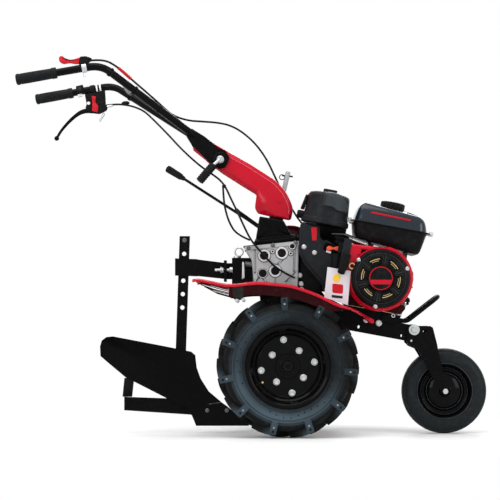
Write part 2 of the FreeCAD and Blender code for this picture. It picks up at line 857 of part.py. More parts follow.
def make_belt_guard():
    """A pressed cover, open towards the machine, over the two belt pulleys."""
    guard = body("belt_guard")
    width = S["guard_width"]
    wall = S["guard_wall"]
    rear = (15, 625)
    front = (S["crank_ahead"], S["crank_height"])
    middle = [(48, 724.5), (-4, 522), (301, 463), (339, 610)]
    hollow = [(47, 721.5), (-3, 525), (302, 466), (338, 607)]
    for name, centre, radius in (("rear", rear, 105), ("front", front, 76)):
        drawing = sketch(guard, "XZ_Plane", "guard_" + name)
        circle(drawing, *centre, radius)
        pad(guard, drawing, width)
    drawing = sketch(guard, "XZ_Plane", "guard_middle")
    outline(drawing, middle)
    pad(guard, drawing, width)
    for name, centre, radius in (("rear", rear, 105 - wall), ("front", front, 76 - wall),
                                 ("middle", None, None)):
        drawing = sketch(guard, "XZ_Plane", "guard_hollow_" + name)
        if centre:
            circle(drawing, *centre, radius)
        else:
            outline(drawing, hollow)
        hollow_out(guard, drawing, width, wall)
    inner = S["guard_left"] - width / 2
    for name, centre, radius, face in (("rear", rear, 34, S["case_width"] / 2),
                                       ("front", front, 26, S["block_width"] / 2 - 5)):
        start = face + S["seat_gap"]
        length = inner + width - wall / 2 - start
        drawing = sketch(guard, "XZ_Plane", "pulley_" + name)
        circle(drawing, *centre, radius)
        offset = S["guard_left"] - start - length / 2
        drawing.setExpression("AttachmentOffset.Base.z", offset.formula)
        drawing.recompute()
        pad(guard, drawing, length)
    place(guard, 0, S["guard_left"], 0)


# ---- fenders -----------------------------------------------------------------

FENDER_LINE = [(-320, 531), (-301, 534), (-198, 513), (-105, 524), (8, 514), (89, 487),
               (S["crank_ahead"] - 149, 447), (S["crank_ahead"] - 108, 439), frame_point(-15.5, -136.1)]


def make_fender(side_name, side):
    fender = body("fender_" + side_name)
    sheet = 3
    drawing = sketch(fender, "XZ_Plane", fender.Name + "_top")
    under = [(x - 1, z - sheet) for x, z in reversed(FENDER_LINE)]
    outline(drawing, FENDER_LINE + under)
    pad(fender, drawing, 140)
    drawing = sketch(fender, "XZ_Plane", fender.Name + "_valance")
    line = FENDER_LINE[2:-1]
    low = [(x, z - 38) for x, z in reversed(line)]
    outline(drawing, [(x, z - 1) for x, z in line] + low)
    drawing.AttachmentOffset = FreeCAD.Placement(Vector(0, 0, side * 68.5), FreeCAD.Rotation())
    pad(fender, drawing, 3)
    inner = S["case_width"] / 2 + S["seat_gap"]
    reach = 158 - inner
    drawing = sketch(fender, "XZ_Plane", fender.Name + "_tab")
    outline(drawing, [(-70, 500), (10, 500), (10, 506), (-70, 506)])
    offset = size(side) * (225 - inner - reach / 2)
    drawing.setExpression("AttachmentOffset.Base.z", offset.formula)
    drawing.recompute()
    pad(fender, drawing, reach)
    rail = S["rail_spread"] / 2 + S["seat_gap"]
    reach = 158 - rail
    drawing = sketch(fender, "XZ_Plane", fender.Name + "_strap")
    outline(drawing, [frame_point(u, w) for u, w in (
        (-32.3, -133.1), (-15.3, -137.1), (4, -142.5), (6.2, -154.3), (-3.6, -156.2), (-30.1, -144.8))])
    offset = size(side) * (225 - rail - reach / 2)
    drawing.setExpression("AttachmentOffset.Base.z", offset.formula)
    drawing.recompute()
    pad(fender, drawing, reach)
    corner = sketch(fender, "XY_Plane", fender.Name + "_corner")
    end = S["crank_ahead"] - 18
    outline(corner, [(end - 94, side * 71), (end, side * 71), (end, side * -80), (end - 17, side * -80)])
    cut = fender.newObject("PartDesign::Pocket", fender.Name + "_corner_cut")
    cut.Profile = corner
    cut.Type = 1
    cut.Midplane = True
    doc.recompute()
    place(fender, 0, side * 225, 0)


# ---- front fork and wheel ----------------------------------------------------

def make_front_fork():
    pivot_x, pivot_z = frame_point(S["fork_pivot_ahead"], -S["fork_pivot_drop"])
    wheel_x, wheel_z = S["front_wheel_ahead"], S["front_wheel_radius"]
    def near_pivot(x, z):
        return pivot_x + x, pivot_z + z
    def near_wheel(x, z):
        return wheel_x + x, wheel_z + z
    inner = S["rail_spread"] + 2 * S["side_gap"]
    outer = inner + 2 * S["fork_wall"]
    fork = side_plate("front_fork", [
        near_pivot(-24, 12), near_pivot(-26, -44), near_pivot(-12, -58), near_pivot(10, -67),
        near_pivot(23, -88), near_wheel(-54, 65), near_wheel(-17, 4), near_wheel(-13, -9),
        near_wheel(0, -16), near_wheel(12, -10), near_wheel(14, 8), near_wheel(-3, 46),
        near_pivot(82, -68), near_pivot(80, -53), near_pivot(65, 7), near_pivot(56, 13),
    ], outer)
    drawing = sketch(fork, "XZ_Plane", "fork_gap")
    outline(drawing, [
        near_pivot(-60, 40), near_pivot(58, 40), near_pivot(60, 8), near_pivot(75, -54),
        near_pivot(100, -54), near_wheel(60, 60), near_wheel(60, -50), near_wheel(-150, -50),
    ])
    cut = fork.newObject("PartDesign::Pocket", "fork_gap_cut")
    cut.Profile = drawing
    cut.setExpression("Length", inner.formula)
    cut.Midplane = True
    doc.recompute()
    holes = sketch(fork, "XZ_Plane", "fork_holes")
    bolt = S["fork_bolt_radius"] + S["seat_gap"]
    circle(holes, pivot_x, pivot_z, bolt)
    circle(holes, wheel_x, wheel_z, bolt)
    circle(holes, pivot_x + 37, pivot_z - 6, 6.5)
    circle(holes, pivot_x - 11, pivot_z - 38, 4)
    bore_through(fork, holes)
    place(fork)

    half = outer / 2
    r = S["fork_bolt_radius"]
    bolt = turned("pivot_bolt", mirrored([
        (0, half + 12), (9, half + 12), (9, half + 3), (18.5, half + 3), (18.5, half + 0.1), (r, half + 0.1),
    ]))
    place(bolt, pivot_x, 0, pivot_z)
    axle = turned("wheel_bolt", mirrored([(0, half + 8), (8.5, half + 8), (8.5, half + 0.1), (r, half + 0.1)]))
    place(axle, wheel_x, 0, wheel_z)
    pair("fork_bolts", [bolt, axle])


def make_front_wheel():
    bore = S["fork_bolt_radius"] + S["seat_gap"]
    half_gap = S["rail_spread"] / 2 + S["side_gap"] - S["seat_gap"]
    rim_r = S["front_rim_radius"]
    rim = turned("front_rim", mirrored([
        (bore, half_gap), (12, half_gap), (14, 34), (36, 29), (54, 17), (rim_r - 23, 6), (rim_r - 10, 6),
        (rim_r - 6, 26), (rim_r, 28),
    ]))
    place(rim, S["front_wheel_ahead"], 0, S["front_wheel_radius"])
    half = S["front_tyre_width"] / 2
    top = S["front_wheel_radius"]
    seat = (rim_r + S["seat_gap"]) / cosine(180 / S["tyre_facets"])
    tyre = feature("front_tyre", faceted_ring(mirrored([
        (seat, half - 8), (seat + 8, half - 1), (seat + 28, half), (top - 14, half - 8),
        (top, half - 26),
    ]), int(S["tyre_facets"].value)))
    place(tyre, S["front_wheel_ahead"], 0, S["front_wheel_radius"])


# ---- column and handlebar ----------------------------------------------------

def near_tilt(x, z):
    return S["handle_back"] + x, S["handle_height"] + z


def make_column():
    outline_points = [
        near_tilt(-53, 78), near_tilt(30, 28), near_tilt(108, -16), (-37, 882), (-1.5, 843), (16, 807),
        (24, 782), column_point(52, 12), column_point(-26, 12), column_point(-53, 16), (-104, 779),
        (-108, 807), (-126, 834), near_tilt(2, -39), near_tilt(-97, 39),
    ]
    arm = side_plate("column_arm", outline_points, S["arm_width"])
    tip = arm.Tip
    open_faces = []
    for index, face in enumerate(tip.Shape.Faces):
        normal = face.normalAt(0, 0)
        if abs(normal.y) < 0.5 and (normal.z < -0.2 or normal.x < -0.62):
            open_faces.append(f"Face{index + 1}")
    shell = arm.newObject("PartDesign::Thickness", "column_arm_shell")
    shell.Base = (tip, open_faces)
    shell.setExpression("Value", S["arm_wall"].formula)
    shell.Mode = 0
    shell.Join = 1
    shell.Reversed = True
    doc.recompute()
    drawing = sketch(arm, "XZ_Plane", "arm_pivot_sleeve")
    circle(drawing, *near_tilt(0, 0), 20)
    pad(arm, drawing, S["arm_width"] + 2 * (S["side_gap"] - S["seat_gap"]))
    drawing = sketch(arm, "XZ_Plane", "arm_pivot_bore")
    circle(drawing, *near_tilt(0, 0), S["fork_bolt_radius"] + S["seat_gap"])
    bore_through(arm, drawing)
    place(arm)

    hub_width = S["arm_width"] - 2 * S["arm_wall"] - 2 * S["seat_gap"]
    hub = side_plate("column_hub", [(-25, 28.3), (25, 28.3), (25, 64), (-25, 64)], hub_width)
    groove = sketch(hub, "XZ_Plane", "hub_bore")
    outline(groove, [(0, 20), (12.3, 20), (12.3, 70), (0, 70)])
    revolve(hub, groove, cut=True)
    place(hub, S["column_ahead"], 0, S["column_height"], S["column_lean"])

    side_y = S["arm_width"].value / 2 + 8.8
    feature("lock_lever", rod(*ahead([(-18, side_y, 806), (8, side_y, 918)]), 8.5))


def handle_line(side):
    """Root, bend and end of one handle tube, set out from the handlebar's pivot."""
    x, z = S["handle_back"].value, S["handle_height"].value
    return [(x - 85.5, 27 * side, z + 81), (x - 397.5, 283 * side, z + 299), (x - 678.5, 290 * side, z + 249)]


def on_handle(side, x):
    """The point of a handle tube's rear run at a place along the machine."""
    _, bend, end = handle_line(side)
    share = (x - bend[0]) / (end[0] - bend[0])
    return tuple(b + share * (e - b) for b, e in zip(bend, end))


def make_yoke():
    half_inner = S["arm_width"] / 2 + S["side_gap"]
    width = 2 * (half_inner + S["yoke_wall"])
    yoke = side_plate("yoke_plates", [
        near_tilt(24, -16), near_tilt(32, 8), near_tilt(18, 31), near_tilt(-6, 42), near_tilt(-55, 81),
        near_tilt(-100, 109), near_tilt(-122, 89), near_tilt(-98, 50), near_tilt(-34, -15),
        near_tilt(-6, -33), near_tilt(14, -29),
    ], width)
    drawing = sketch(yoke, "XZ_Plane", "yoke_gap")
    outline(drawing, [near_tilt(-28.5, 135), near_tilt(-136.5, 17), near_tilt(-20, -93), near_tilt(110, 47)])
    cut = yoke.newObject("PartDesign::Pocket", "yoke_gap_cut")
    cut.Profile = drawing
    cut.setExpression("Length", (2 * half_inner).formula)
    cut.Midplane = True
    doc.recompute()
    drawing = sketch(yoke, "XZ_Plane", "yoke_bore")
    circle(drawing, *near_tilt(0, 0), S["fork_bolt_radius"] + S["seat_gap"])
    bore_through(yoke, drawing)
    place(yoke)
    doc.recompute()
    nodes.remove(yoke)
    sockets = []
    for side in (-1, 1):
        root, bend, _ = (Vector(*p) for p in ahead(handle_line(side)))
        on = (bend - root).normalize()
        sockets.append(rod(root - on * 0.5, root + on * 90, S["tube_radius"].value + S["seat_gap"].value))
    tools = doc.addObject("Part::Feature", "tube_sockets")
    tools.Shape = Part.makeCompound(sockets)
    cut = doc.addObject("Part::Cut", "handle_yoke")
    cut.Label = "handle_yoke"
    cut.Base = yoke
    cut.Tool = tools
    nodes.append(cut)

    x, z = S["handle_back"].value, S["handle_height"].value
    side = width.value / 2
    bolt = rod(*ahead([(x, -side - 18, z), (x, side + 10, z)]), S["fork_bolt_radius"].value)
    disc = rod(*ahead([(x, -side - 6.3, z), (x, -side - 0.3, z)]), 27)
    nut = rod(*ahead([(x, side + 0.3, z), (x, side + 9, z)]), 11)
    lever = rod(*ahead([(x, -side - 14, z), (x - 26, -side - 20, z - 22)]), 7)
    grip = rod(*ahead([(x - 22, -side - 19, z - 18.5), (x - 72, -side - 30, z - 78)]), 12)
    feature("clamp_bolt", bolt.fuse([disc, nut, lever, grip]))


def make_handles():
    radius = S["tube_radius"].value
    wall = S["tube_wall"].value
    tubes = []
    grips = []
    for side in (-1, 1):
        line = ahead(handle_line(side))
        shape, path, radii = tube(line, radius, bend=80, wall=wall)
        tubes.append(shape)
        print("handle bend radius", [round(r, 1) for r in radii])
        tail, neck = Vector(*line[2]), Vector(*line[1])
        on = (neck - tail).normalize()
        last = tail + on * S["grip_length"].value
        grip = rod(tail - on * 4, last, S["grip_radius"].value)
        core = rod(tail, last + on, radius + S["seat_gap"].value)
        grips.append(grip.cut(core))
    feature("handle_tubes", Part.makeCompound(tubes))
    feature("handle_grips", Part.makeCompound(grips))


def box_at(middle, length, width, height):
    x, y, z = middle
    corner = Vector(x - length / 2 + S["axle_ahead"].value, y - width / 2, z - height / 2)
    return Part.makeBox(length, width, height, corner)


def clamp_ring(side, back, front, radius):
    """A ring round a handle tube, and the bore that it takes."""
    bore = rod(*ahead([on_handle(side, back - 40), on_handle(side, front + 22)]),
               S["tube_radius"].value + S["seat_gap"].value)
    ring = rod(*ahead([on_handle(side, back), on_handle(side, front)]), radius)
    return ring, bore


def make_controls():
    back = S["handle_back"].value
    x, y, z = on_handle(-1, back - 452.5)
    ring, bore = clamp_ring(-1, x - 11, x + 9, 19)
    housing = box_at((x, y, z + 25), 34, 26, 16)
    feature("throttle_mount", ring.cut(bore).fuse(housing))
    feature("throttle_lever", box_at((x - 17.3 - 35, y, z + 26), 70, 16, 9))

    x, y, z = on_handle(1, back - 463.5)
    ring, bore = clamp_ring(1, x - 12, x + 10, 18)
    perch = box_at((x, y, z - 47.3), 64, 22, 66)
    feature("clutch_perch", perch.fuse(ring).cut(bore))
    lever_line = [(x - 36.2, y, z - 73.3), (x - 66, y, z - 92.3), (x - 106, y, z - 136.3),
                  (x - 140, y, z - 180.3)]
    shape, path, radii = tube(ahead(lever_line), 7)
    feature("clutch_lever", shape)
    switch = box_at(on_handle(1, back - 519.5), 26, 34, 34)
    feature("stop_switch", switch.cut(clamp_ring(1, back - 529.5, back - 509.5, 18)[1]))


# ---- hitch and plough --------------------------------------------------------

def make_hitch():
    pin_x = S["hitch_pin_back"]
    middle = S["hitch_height"]
    gap = S["drawbar_depth"] / 2 + S["seat_gap"]
    bracket = side_plate("hitch_bracket", [
        (-114.2, middle - 46), (-121.4, middle + 36), (-127.6, middle + 46), (pin_x - 18, middle + 46),
        (pin_x - 18, middle + gap), (-150, middle + gap), (-150, middle - gap),
        (pin_x - 18, middle - gap), (pin_x - 18, middle - 46),
    ], 70)
    for name, offset in (("right", 32.5), ("left", -32.5)):
        drawing = sketch(bracket, "XZ_Plane", "hitch_cheek_" + name)
        outline(drawing, [(pin_x - 18, middle - 40), (-148, middle - 40), (-148, middle + 40),
                          (pin_x - 18, middle + 40)])
        drawing.AttachmentOffset = FreeCAD.Placement(Vector(0, 0, offset), FreeCAD.Rotation())
        pad(bracket, drawing, 5)
    bore = sketch(bracket, "XY_Plane", "hitch_pin_bore")
    circle(bore, pin_x, 0, S["hitch_pin_radius"] + S["seat_gap"])
    bore_through(bracket, bore)
    place(bracket)

    half = S["drawbar_depth"] / 2
    drawbar = side_plate("drawbar", [
        (-310, 606), (-310, 548), (-206, middle - half), (-157, middle - half), (-157, middle + half),
        (-206, middle + half),
    ], S["drawbar_width"])
    drawing = sketch(drawbar, "XZ_Plane", "drawbar_head")
    outline(drawing, [(-218, middle - 37), (-208, middle - 37), (-208, middle + 37), (-218, middle + 37)])
    pad(drawbar, drawing, 96)
    bore = sketch(drawbar, "XY_Plane", "drawbar_bore")
    circle(bore, pin_x, 0, S["hitch_pin_radius"] + S["seat_gap"])
    bore_through(drawbar, bore)
    bores = sketch(drawbar, "YZ_Plane", "drawbar_bolt_bores")
    for across in (-33, 33):
        circle(bores, across, middle + 4, 5 + S["seat_gap"])
    bore_through(drawbar, bores)
    place(drawbar)

    x, z = pin_x.value, middle.value
    top = z + 46
    pin = rod(*ahead([(x, 0, z - 52), (x, 0, top + 8)]), S["hitch_pin_radius"].value)
    collar = rod(*ahead([(x, 0, top + 0.3), (x, 0, top + 6)]), 14)
    ring = Part.makeTorus(14, 3, Vector(*ahead([(x + 6, 0, top + 22)])[0]), Vector(0, 1, 0))
    feature("hitch_pin", pin.fuse([collar, ring]))
    bolts = []
    for y in (-33, 33):
        shank = rod(*ahead([(-248, y, z + 4), (x - 18.3, y, z + 4)]), 5)
        nut = rod(*ahead([(-228, y, z + 4), (-218.3, y, z + 4)]), 9)
        bolts.append(shank.fuse(nut))
    feature("hitch_bolts", Part.makeCompound(bolts))


def stem_x(up):
    """Middle of the plough's stem at a height; the stem leans back towards its foot."""
    return S["stem_back"] - (490 - up) * 0.033


def make_stem():
    half = S["stem_width"] / 2
    holes = [(stem_x(z), z, S["stem_hole_radius"]) for z in range(438, 680, 47)]
    stem = side_plate("plough_stem", [
        (stem_x(688) - half, 688), (stem_x(688) + half, 688), (stem_x(86) + half, 86), (stem_x(86) - half, 86),
    ], S["stem_thickness"], holes)
    place(stem)

    clamp = side_plate("stem_clamp", [(-389, 550), (-310.2, 547), (-310.2, 607), (-389, 610)], 34)
    slot = sketch(clamp, "XZ_Plane", "stem_slot")
    fit = half + S["seat_gap"]
    outline(slot, [(stem_x(540) - fit, 540), (stem_x(540) + fit, 540), (stem_x(620) + fit, 620),
                   (stem_x(620) - fit, 620)])
    cut = clamp.newObject("PartDesign::Pocket", "stem_slot_cut")
    cut.Profile = slot
    cut.setExpression("Length", (S["stem_thickness"] + 2 * S["seat_gap"]).formula)
    cut.Midplane = True
    doc.recompute()
    place(clamp)


def board_y(x, z):
    """Sideways place of the plough's working face behind its straight front."""
    back = max(0.0, (-330.0 - x) / 320.0)
    rise = (z - 30.0) / 266.0
    face = S["stem_thickness"].value / 2 + S["seat_gap"].value
    return -face - S["plough_sweep"].value * back ** 1.6 * (0.55 + 0.45 * rise)


def plough_sheet(points):
    """The part of the working face inside a side outline, as thick as the plough's plate."""
    columns = [-660 + 27 * i for i in range(21)]
    rows = [10, 80, 150, 225, 300, 345]
    shift = S["axle_ahead"].value
    grid = [[Vector(x + shift, board_y(x, z), z) for z in rows] for x in columns]
    surface = Part.BSplineSurface()
    surface.interpolate(grid)
    slab = surface.toShape().extrude(Vector(0, -S["plough_plate"].value, 0))
    edge = [Vector(x + shift, 40, z) for x, z in points]
    prism = Part.Face(Part.makePolygon(edge + [edge[0]])).extrude(Vector(0, -400, 0))
    return slab.common(prism)


def make_plough():
    feature("mouldboard", plough_sheet([
        (-638, 272), (-639, 305), (-633, 325), (-618, 337), (-597, 339), (-388, 296), (-332, 284),
        (-318, 272), (-313, 229), (-299, 190), (-271, 146), (-226, 108), (-342, 92), (-360, 92),
        (-555, 196), (-615, 250),
    ]).removeSplitter())
    feature("plough_share", plough_sheet([
        (-342, 91.7), (-226, 107.7), (-209, 96), (-131, 30), (-131, 26), (-315, 26),
    ]).removeSplitter())
    offset = S["stem_thickness"] / 2 + S["seat_gap"] + 3
    landside = side_plate("landside", [
        (-567, 79), (-567, 126), (-340, 118), (-250, 96), (-200, 60), (-200, 38), (-338, 64),
    ], 6)
    place(landside, 0, offset, 0)
    begin = Vector(*ahead([(-556, offset.value, 128.6)])[0])
    foot_y = board_y(-545, 190) + 9.2
    finish = Vector(*ahead([(-545, foot_y, 192)])[0])
    run = finish - begin
    across = Vector(1, 0, 0)
    thick = run.cross(across).normalize() * 3
    corners = [begin + across * 17 + thick, begin + across * 17 - thick,
               begin - across * 17 - thick, begin - across * 17 + thick]
    brace = Part.Face(Part.makePolygon(corners + [corners[0]])).extrude(run)
    feature("plough_brace", brace)


# ---- cables ------------------------------------------------------------------

# Each point is ahead, left and up of the place that carries it there.
CASE_SIDE = S["case_width"].value / 2

CABLES = {
    "throttle_cable": {
        "handle": [
            (-434.5, -284, 314), (-389.5, -284, 319), (-344.5, -262, 297), (-295.5, -214, 256),
            (-245.5, -160, 217), (-201.5, -116, 181), (-166.5, -80, 151), (-114.5, -58, 135),
            (-59.5, -44, 133), (-11.5, -30, 131), (34.5, -16, 123), (79.5, 0, 99), (125.5, 20, 59),
        ],
        "column": [
            (-30, 40, 213), (2, 55, 145), (26, 60, 93), (56, 50, 43), (86, 26, -7),
        ],
        "crank": [(-234, -6, 169), (-191.8, -22, 152.5), (-152.7, -22, 145.2)],
    },
    "clutch_cable": {
        "handle": [
            (-430.9, 285, 225), (-391.5, 283, 231), (-349.5, 256, 225), (-314.5, 216, 213),
            (-277.5, 172, 193), (-243.5, 134, 159), (-209.5, 98, 123), (-176.5, 66, 87),
            (-144.5, 30, 50), (-101.5, -6, 7), (-61.5, -30, -28), (-24.5, -42, -53),
        ],
        "column": [
            (-192, -62, 133), (-174, -80, 107), (-158, -90, 71), (-136, -94, 26),
            (-112, -CASE_SIDE - 14, -27), (-86, -CASE_SIDE - 16, -79),
        ],
        "crank": [(-394, -CASE_SIDE - 15, 77), (-349, -CASE_SIDE - 14, 30), (-290, -CASE_SIDE - 11, 3)],
    },
    "stop_wire": {
        "column": [
            (-184.8, -80, 117), (-183, -80, 77), (-178, -80, 37), (-164, -78, -12), (-137, -70, -55),
            (-91, -56, -73),
        ],
    },
}


def cable_points(route):
    anchors = {
        "handle": ("handle_back", "handle_height"),
        "column": ("column_ahead", "column_height"),
        "crank": ("crank_ahead", "crank_height"),
    }
    points = []
    for anchor, offsets in route.items():
        x, z = (S[name].value for name in anchors[anchor])
        points += [(x + along, y, z + up) for along, y, up in offsets]
    return points


def make_cables():
    radius = S["cable_radius"].value
    for label, route in CABLES.items():
        shape, path, radii = tube(ahead(cable_points(route)), radius)
        section = math.pi * radius ** 2
        print(label, "radii", round(min(radii)), "to", round(max(radii)),
              "volume", round(shape.Volume / (section * path.Length), 3))
        feature(label, shape)


# ---- building and writing ----------------------------------------------------

def build():
    make_drive_wheels()
    make_gearbox()
    make_shift_cover()
    make_gear_lever()
    make_frame()
    make_engine()
    make_tank()
    make_air_cleaner()
    make_muffler()
    make_belt_guard()
    make_fender("right", -1)
    make_fender("left", 1)
    make_front_fork()
    make_front_wheel()
    make_column()
    make_yoke()
    make_handles()
    make_controls()
    make_hitch()
    make_stem()
    make_plough()
    make_cables()


def write():
    doc.recompute()
    for item in doc.Objects:
        if "Invalid" in item.State or "Error" in item.State:
            raise RuntimeError(f"{item.Label} failed: {item.State}")
    os.makedirs("parts", exist_ok=True)
    for item in nodes:
        shape = item.Shape
        if shape.isNull() or not shape.isValid():
            raise RuntimeError(f"{item.Label} has no sound shape")
        box = shape.BoundBox
        print(f"{item.Label:22s} {shape.Volume / 1000:9.1f} cm3  solids {len(shape.Solids)}",
              "x", round(box.XMin), round(box.XMax), "y", round(box.YMin), round(box.YMax),
              "z", round(box.ZMin), round(box.ZMax))
        shape.exportStep(f"parts/{item.Label}.step")


build()
write()
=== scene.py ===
import math
import bmesh
import bpy
import numpy as np
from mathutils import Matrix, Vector


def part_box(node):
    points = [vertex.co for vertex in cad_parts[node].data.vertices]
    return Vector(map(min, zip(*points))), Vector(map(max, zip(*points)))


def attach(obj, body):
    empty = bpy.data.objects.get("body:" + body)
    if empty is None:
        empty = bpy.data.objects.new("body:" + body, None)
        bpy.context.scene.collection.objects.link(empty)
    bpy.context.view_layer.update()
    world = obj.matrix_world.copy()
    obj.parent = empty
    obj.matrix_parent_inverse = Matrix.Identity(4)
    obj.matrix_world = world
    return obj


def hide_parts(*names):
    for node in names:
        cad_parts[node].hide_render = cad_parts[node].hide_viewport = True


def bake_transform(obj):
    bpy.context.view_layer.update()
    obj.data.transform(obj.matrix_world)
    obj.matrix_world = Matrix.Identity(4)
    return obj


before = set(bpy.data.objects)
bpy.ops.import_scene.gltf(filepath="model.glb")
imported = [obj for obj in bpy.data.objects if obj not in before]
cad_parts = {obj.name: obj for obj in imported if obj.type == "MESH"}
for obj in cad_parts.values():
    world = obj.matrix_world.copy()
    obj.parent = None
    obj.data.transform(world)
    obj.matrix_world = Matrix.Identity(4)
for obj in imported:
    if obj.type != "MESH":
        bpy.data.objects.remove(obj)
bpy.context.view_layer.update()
scene = bpy.context.scene
scene.view_settings.view_transform = "Standard"

# A walk-behind two-wheel tractor with a plough. Metres, +X ahead, +Y to its left, +Z up.
axleAhead = 0.107
wheelUp = 0.240
halfTrack = 0.245
crank = (axleAhead + 0.318, 0.537)
frameTilt = math.radians(10.5)

cameraSet = {"x": -0.0201, "distance": 6.5, "height": 0.4225, "pitch": 1.912, "lens": 133.7}
roomSet = {"floor": (0.93, 0.93, 0.93), "reach": 9.0, "world": 0.62, "whiteFrom": 0.55, "whiteAt": 1.15}


def makeCamera():
    data = bpy.data.cameras.new("camera")
    data.lens = cameraSet["lens"]
    data.sensor_width = 36
    data.clip_end = 60
    item = bpy.data.objects.new("camera", data)
    scene.collection.objects.link(item)
    item.location = (cameraSet["x"], -cameraSet["distance"], cameraSet["height"])
    item.rotation_euler = (math.radians(90 + cameraSet["pitch"]), 0, 0)
    scene.camera = item


def areaLamp(name, place, aim, size, power):
    data = bpy.data.lights.new(name, "AREA")
    data.shape = "RECTANGLE"
    data.size, data.size_y = size
    data.energy = power
    item = bpy.data.objects.new(name, data)
    scene.collection.objects.link(item)
    item.location = place
    item.rotation_euler = (Vector(aim) - Vector(place)).to_track_quat("-Z", "Y").to_euler()


def addNode(tree, kind, values=(), **settings):
    # a node of one kind, with its settings and the values of its inputs
    node = tree.nodes.new("ShaderNode" + kind)
    for key, value in settings.items():
        setattr(node, key, value)
    for key, value in dict(values).items():
        node.inputs[key].default_value = value
    return node


def join(tree, *rows):
    # each row links an output of one node to an input of another
    for source, output, target, socket in rows:
        tree.links.new(source.outputs[output], target.inputs[socket])


def backgroundRays(tree):
    # 1 where the camera, a mirror or glass looks, 0 where light is gathered
    path = addNode(tree, "LightPath")
    first = addNode(tree, "Math", operation="MAXIMUM")
    second = addNode(tree, "Math", operation="MAXIMUM")
    join(tree, (path, "Is Camera Ray", first, 0), (path, "Is Transmission Ray", first, 1),
        (first, 0, second, 0), (path, "Is Glossy Ray", second, 1))
    return second


def makeWorld():
    # even light from all round, and plain white wherever the room itself is seen
    world = bpy.data.worlds.new("room")
    scene.world = world
    world.use_nodes = True
    tree = world.node_tree
    tree.nodes.clear()
    out = addNode(tree, "OutputWorld")
    mix = addNode(tree, "MixShader")
    plain = addNode(tree, "Background", {"Color": (1, 1, 1, 1), "Strength": roomSet["world"]})
    white = addNode(tree, "Background", {"Color": (1, 1, 1, 1), "Strength": 1})
    join(tree, (backgroundRays(tree), 0, mix, 0), (plain, 0, mix, 1), (white, 0, mix, 2), (mix, 0, out, 0))


def makeFloor():
    reach = roomSet["reach"]
    mesh = bpy.data.meshes.new("floor")
    corners = [(-reach, -reach, 0), (-reach, reach, 0), (reach, -reach, 0), (reach, reach, 0)]
    mesh.from_pydata(corners, [], [(0, 2, 3, 1)])
    floor = bpy.data.objects.new("floor", mesh)
    scene.collection.objects.link(floor)
    stuff = bpy.data.materials.new("floor")
    stuff.use_nodes = True
    tree = stuff.node_tree
    shader = tree.nodes["Principled BSDF"]
    shader.inputs["Base Color"].default_value = (*roomSet["floor"], 1)
    shader.inputs["Roughness"].default_value = 0.6
    shader.inputs["Specular IOR Level"].default_value = 0.2
    # lit floor close to the wheels, so that it keeps their shadow, and plain white further out
    where = addNode(tree, "TexCoord")
    flat = addNode(tree, "Mapping", {"Scale": (0.62, 1, 1)})
    distance = addNode(tree, "VectorMath", operation="LENGTH")
    fade = addNode(tree, "MapRange", {"From Min": roomSet["whiteFrom"], "From Max": roomSet["whiteAt"]},
        interpolation_type="SMOOTHSTEP")
    seen = addNode(tree, "Math", operation="MULTIPLY")
    glow = addNode(tree, "Emission")
    mix = addNode(tree, "MixShader")
    join(tree, (where, "Object", flat, "Vector"), (flat, "Vector", distance, 0),
        (distance, "Value", fade, "Value"), (fade, "Result", seen, 0), (backgroundRays(tree), 0, seen, 1),
        (seen, 0, mix, 0), (shader, 0, mix, 1), (glow, 0, mix, 2),
        (mix, 0, tree.nodes["Material Output"], "Surface"))
    mesh.materials.append(stuff)


makeCamera()
makeWorld()
makeFloor()
areaLamp("top", (-0.3, -0.9, 3.2), (0.1, 0, 0.5), (3.2, 2.2), 62)
areaLamp("front", (-2.4, -3.6, 1.9), (0.1, 0, 0.6), (1.6, 2.2), 46)
areaLamp("right", (3.0, -2.2, 1.5), (0.2, 0, 0.5), (1.2, 2.0), 34)
areaLamp("back", (0.6, 3.2, 2.2), (0.1, 0, 0.6), (2.4, 1.4), 40)
print("camera and room")


def newGroup(name, inputs, outputs):
    group = bpy.data.node_groups.new(name, "ShaderNodeTree")
    for label, kind, value in inputs:
        socket = group.interface.new_socket(name=label, in_out="INPUT", socket_type="NodeSocket" + kind)
        socket.default_value = value
    for label, kind in outputs:
        group.interface.new_socket(name=label, in_out="OUTPUT", socket_type="NodeSocket" + kind)
    return group, group.nodes.new("NodeGroupInput"), group.nodes.new("NodeGroupOutput")


# noise of 0.3 to 0.7 as a swing of -1 to 1
swingRange = {"From Min": 0.3, "From Max": 0.7, "To Min": -1, "To Max": 1}


def makeGrain():
    # height: two sizes of noise, the finer one a tenth of the coarser
    group, given, out = newGroup("grain", [("Scale", "Float", 200.0), ("Coarse", "Float", 0.3),
        ("Vector", "Vector", (0, 0, 0))], [("Height", "Float")])
    fine = addNode(group, "TexNoise", {"Detail": 3})
    wide = addNode(group, "TexNoise", {"Detail": 2})
    tenth = addNode(group, "Math", {1: 0.1}, operation="MULTIPLY")
    mix = addNode(group, "Mix")
    join(group, (given, "Vector", fine, "Vector"), (given, "Vector", wide, "Vector"),
        (given, "Scale", fine, "Scale"), (given, "Scale", tenth, 0), (tenth, 0, wide, "Scale"),
        (given, "Coarse", mix, "Factor"), (fine, "Fac", mix, "A"), (wide, "Fac", mix, "B"),
        (mix, "Result", out, "Height"))
    return group


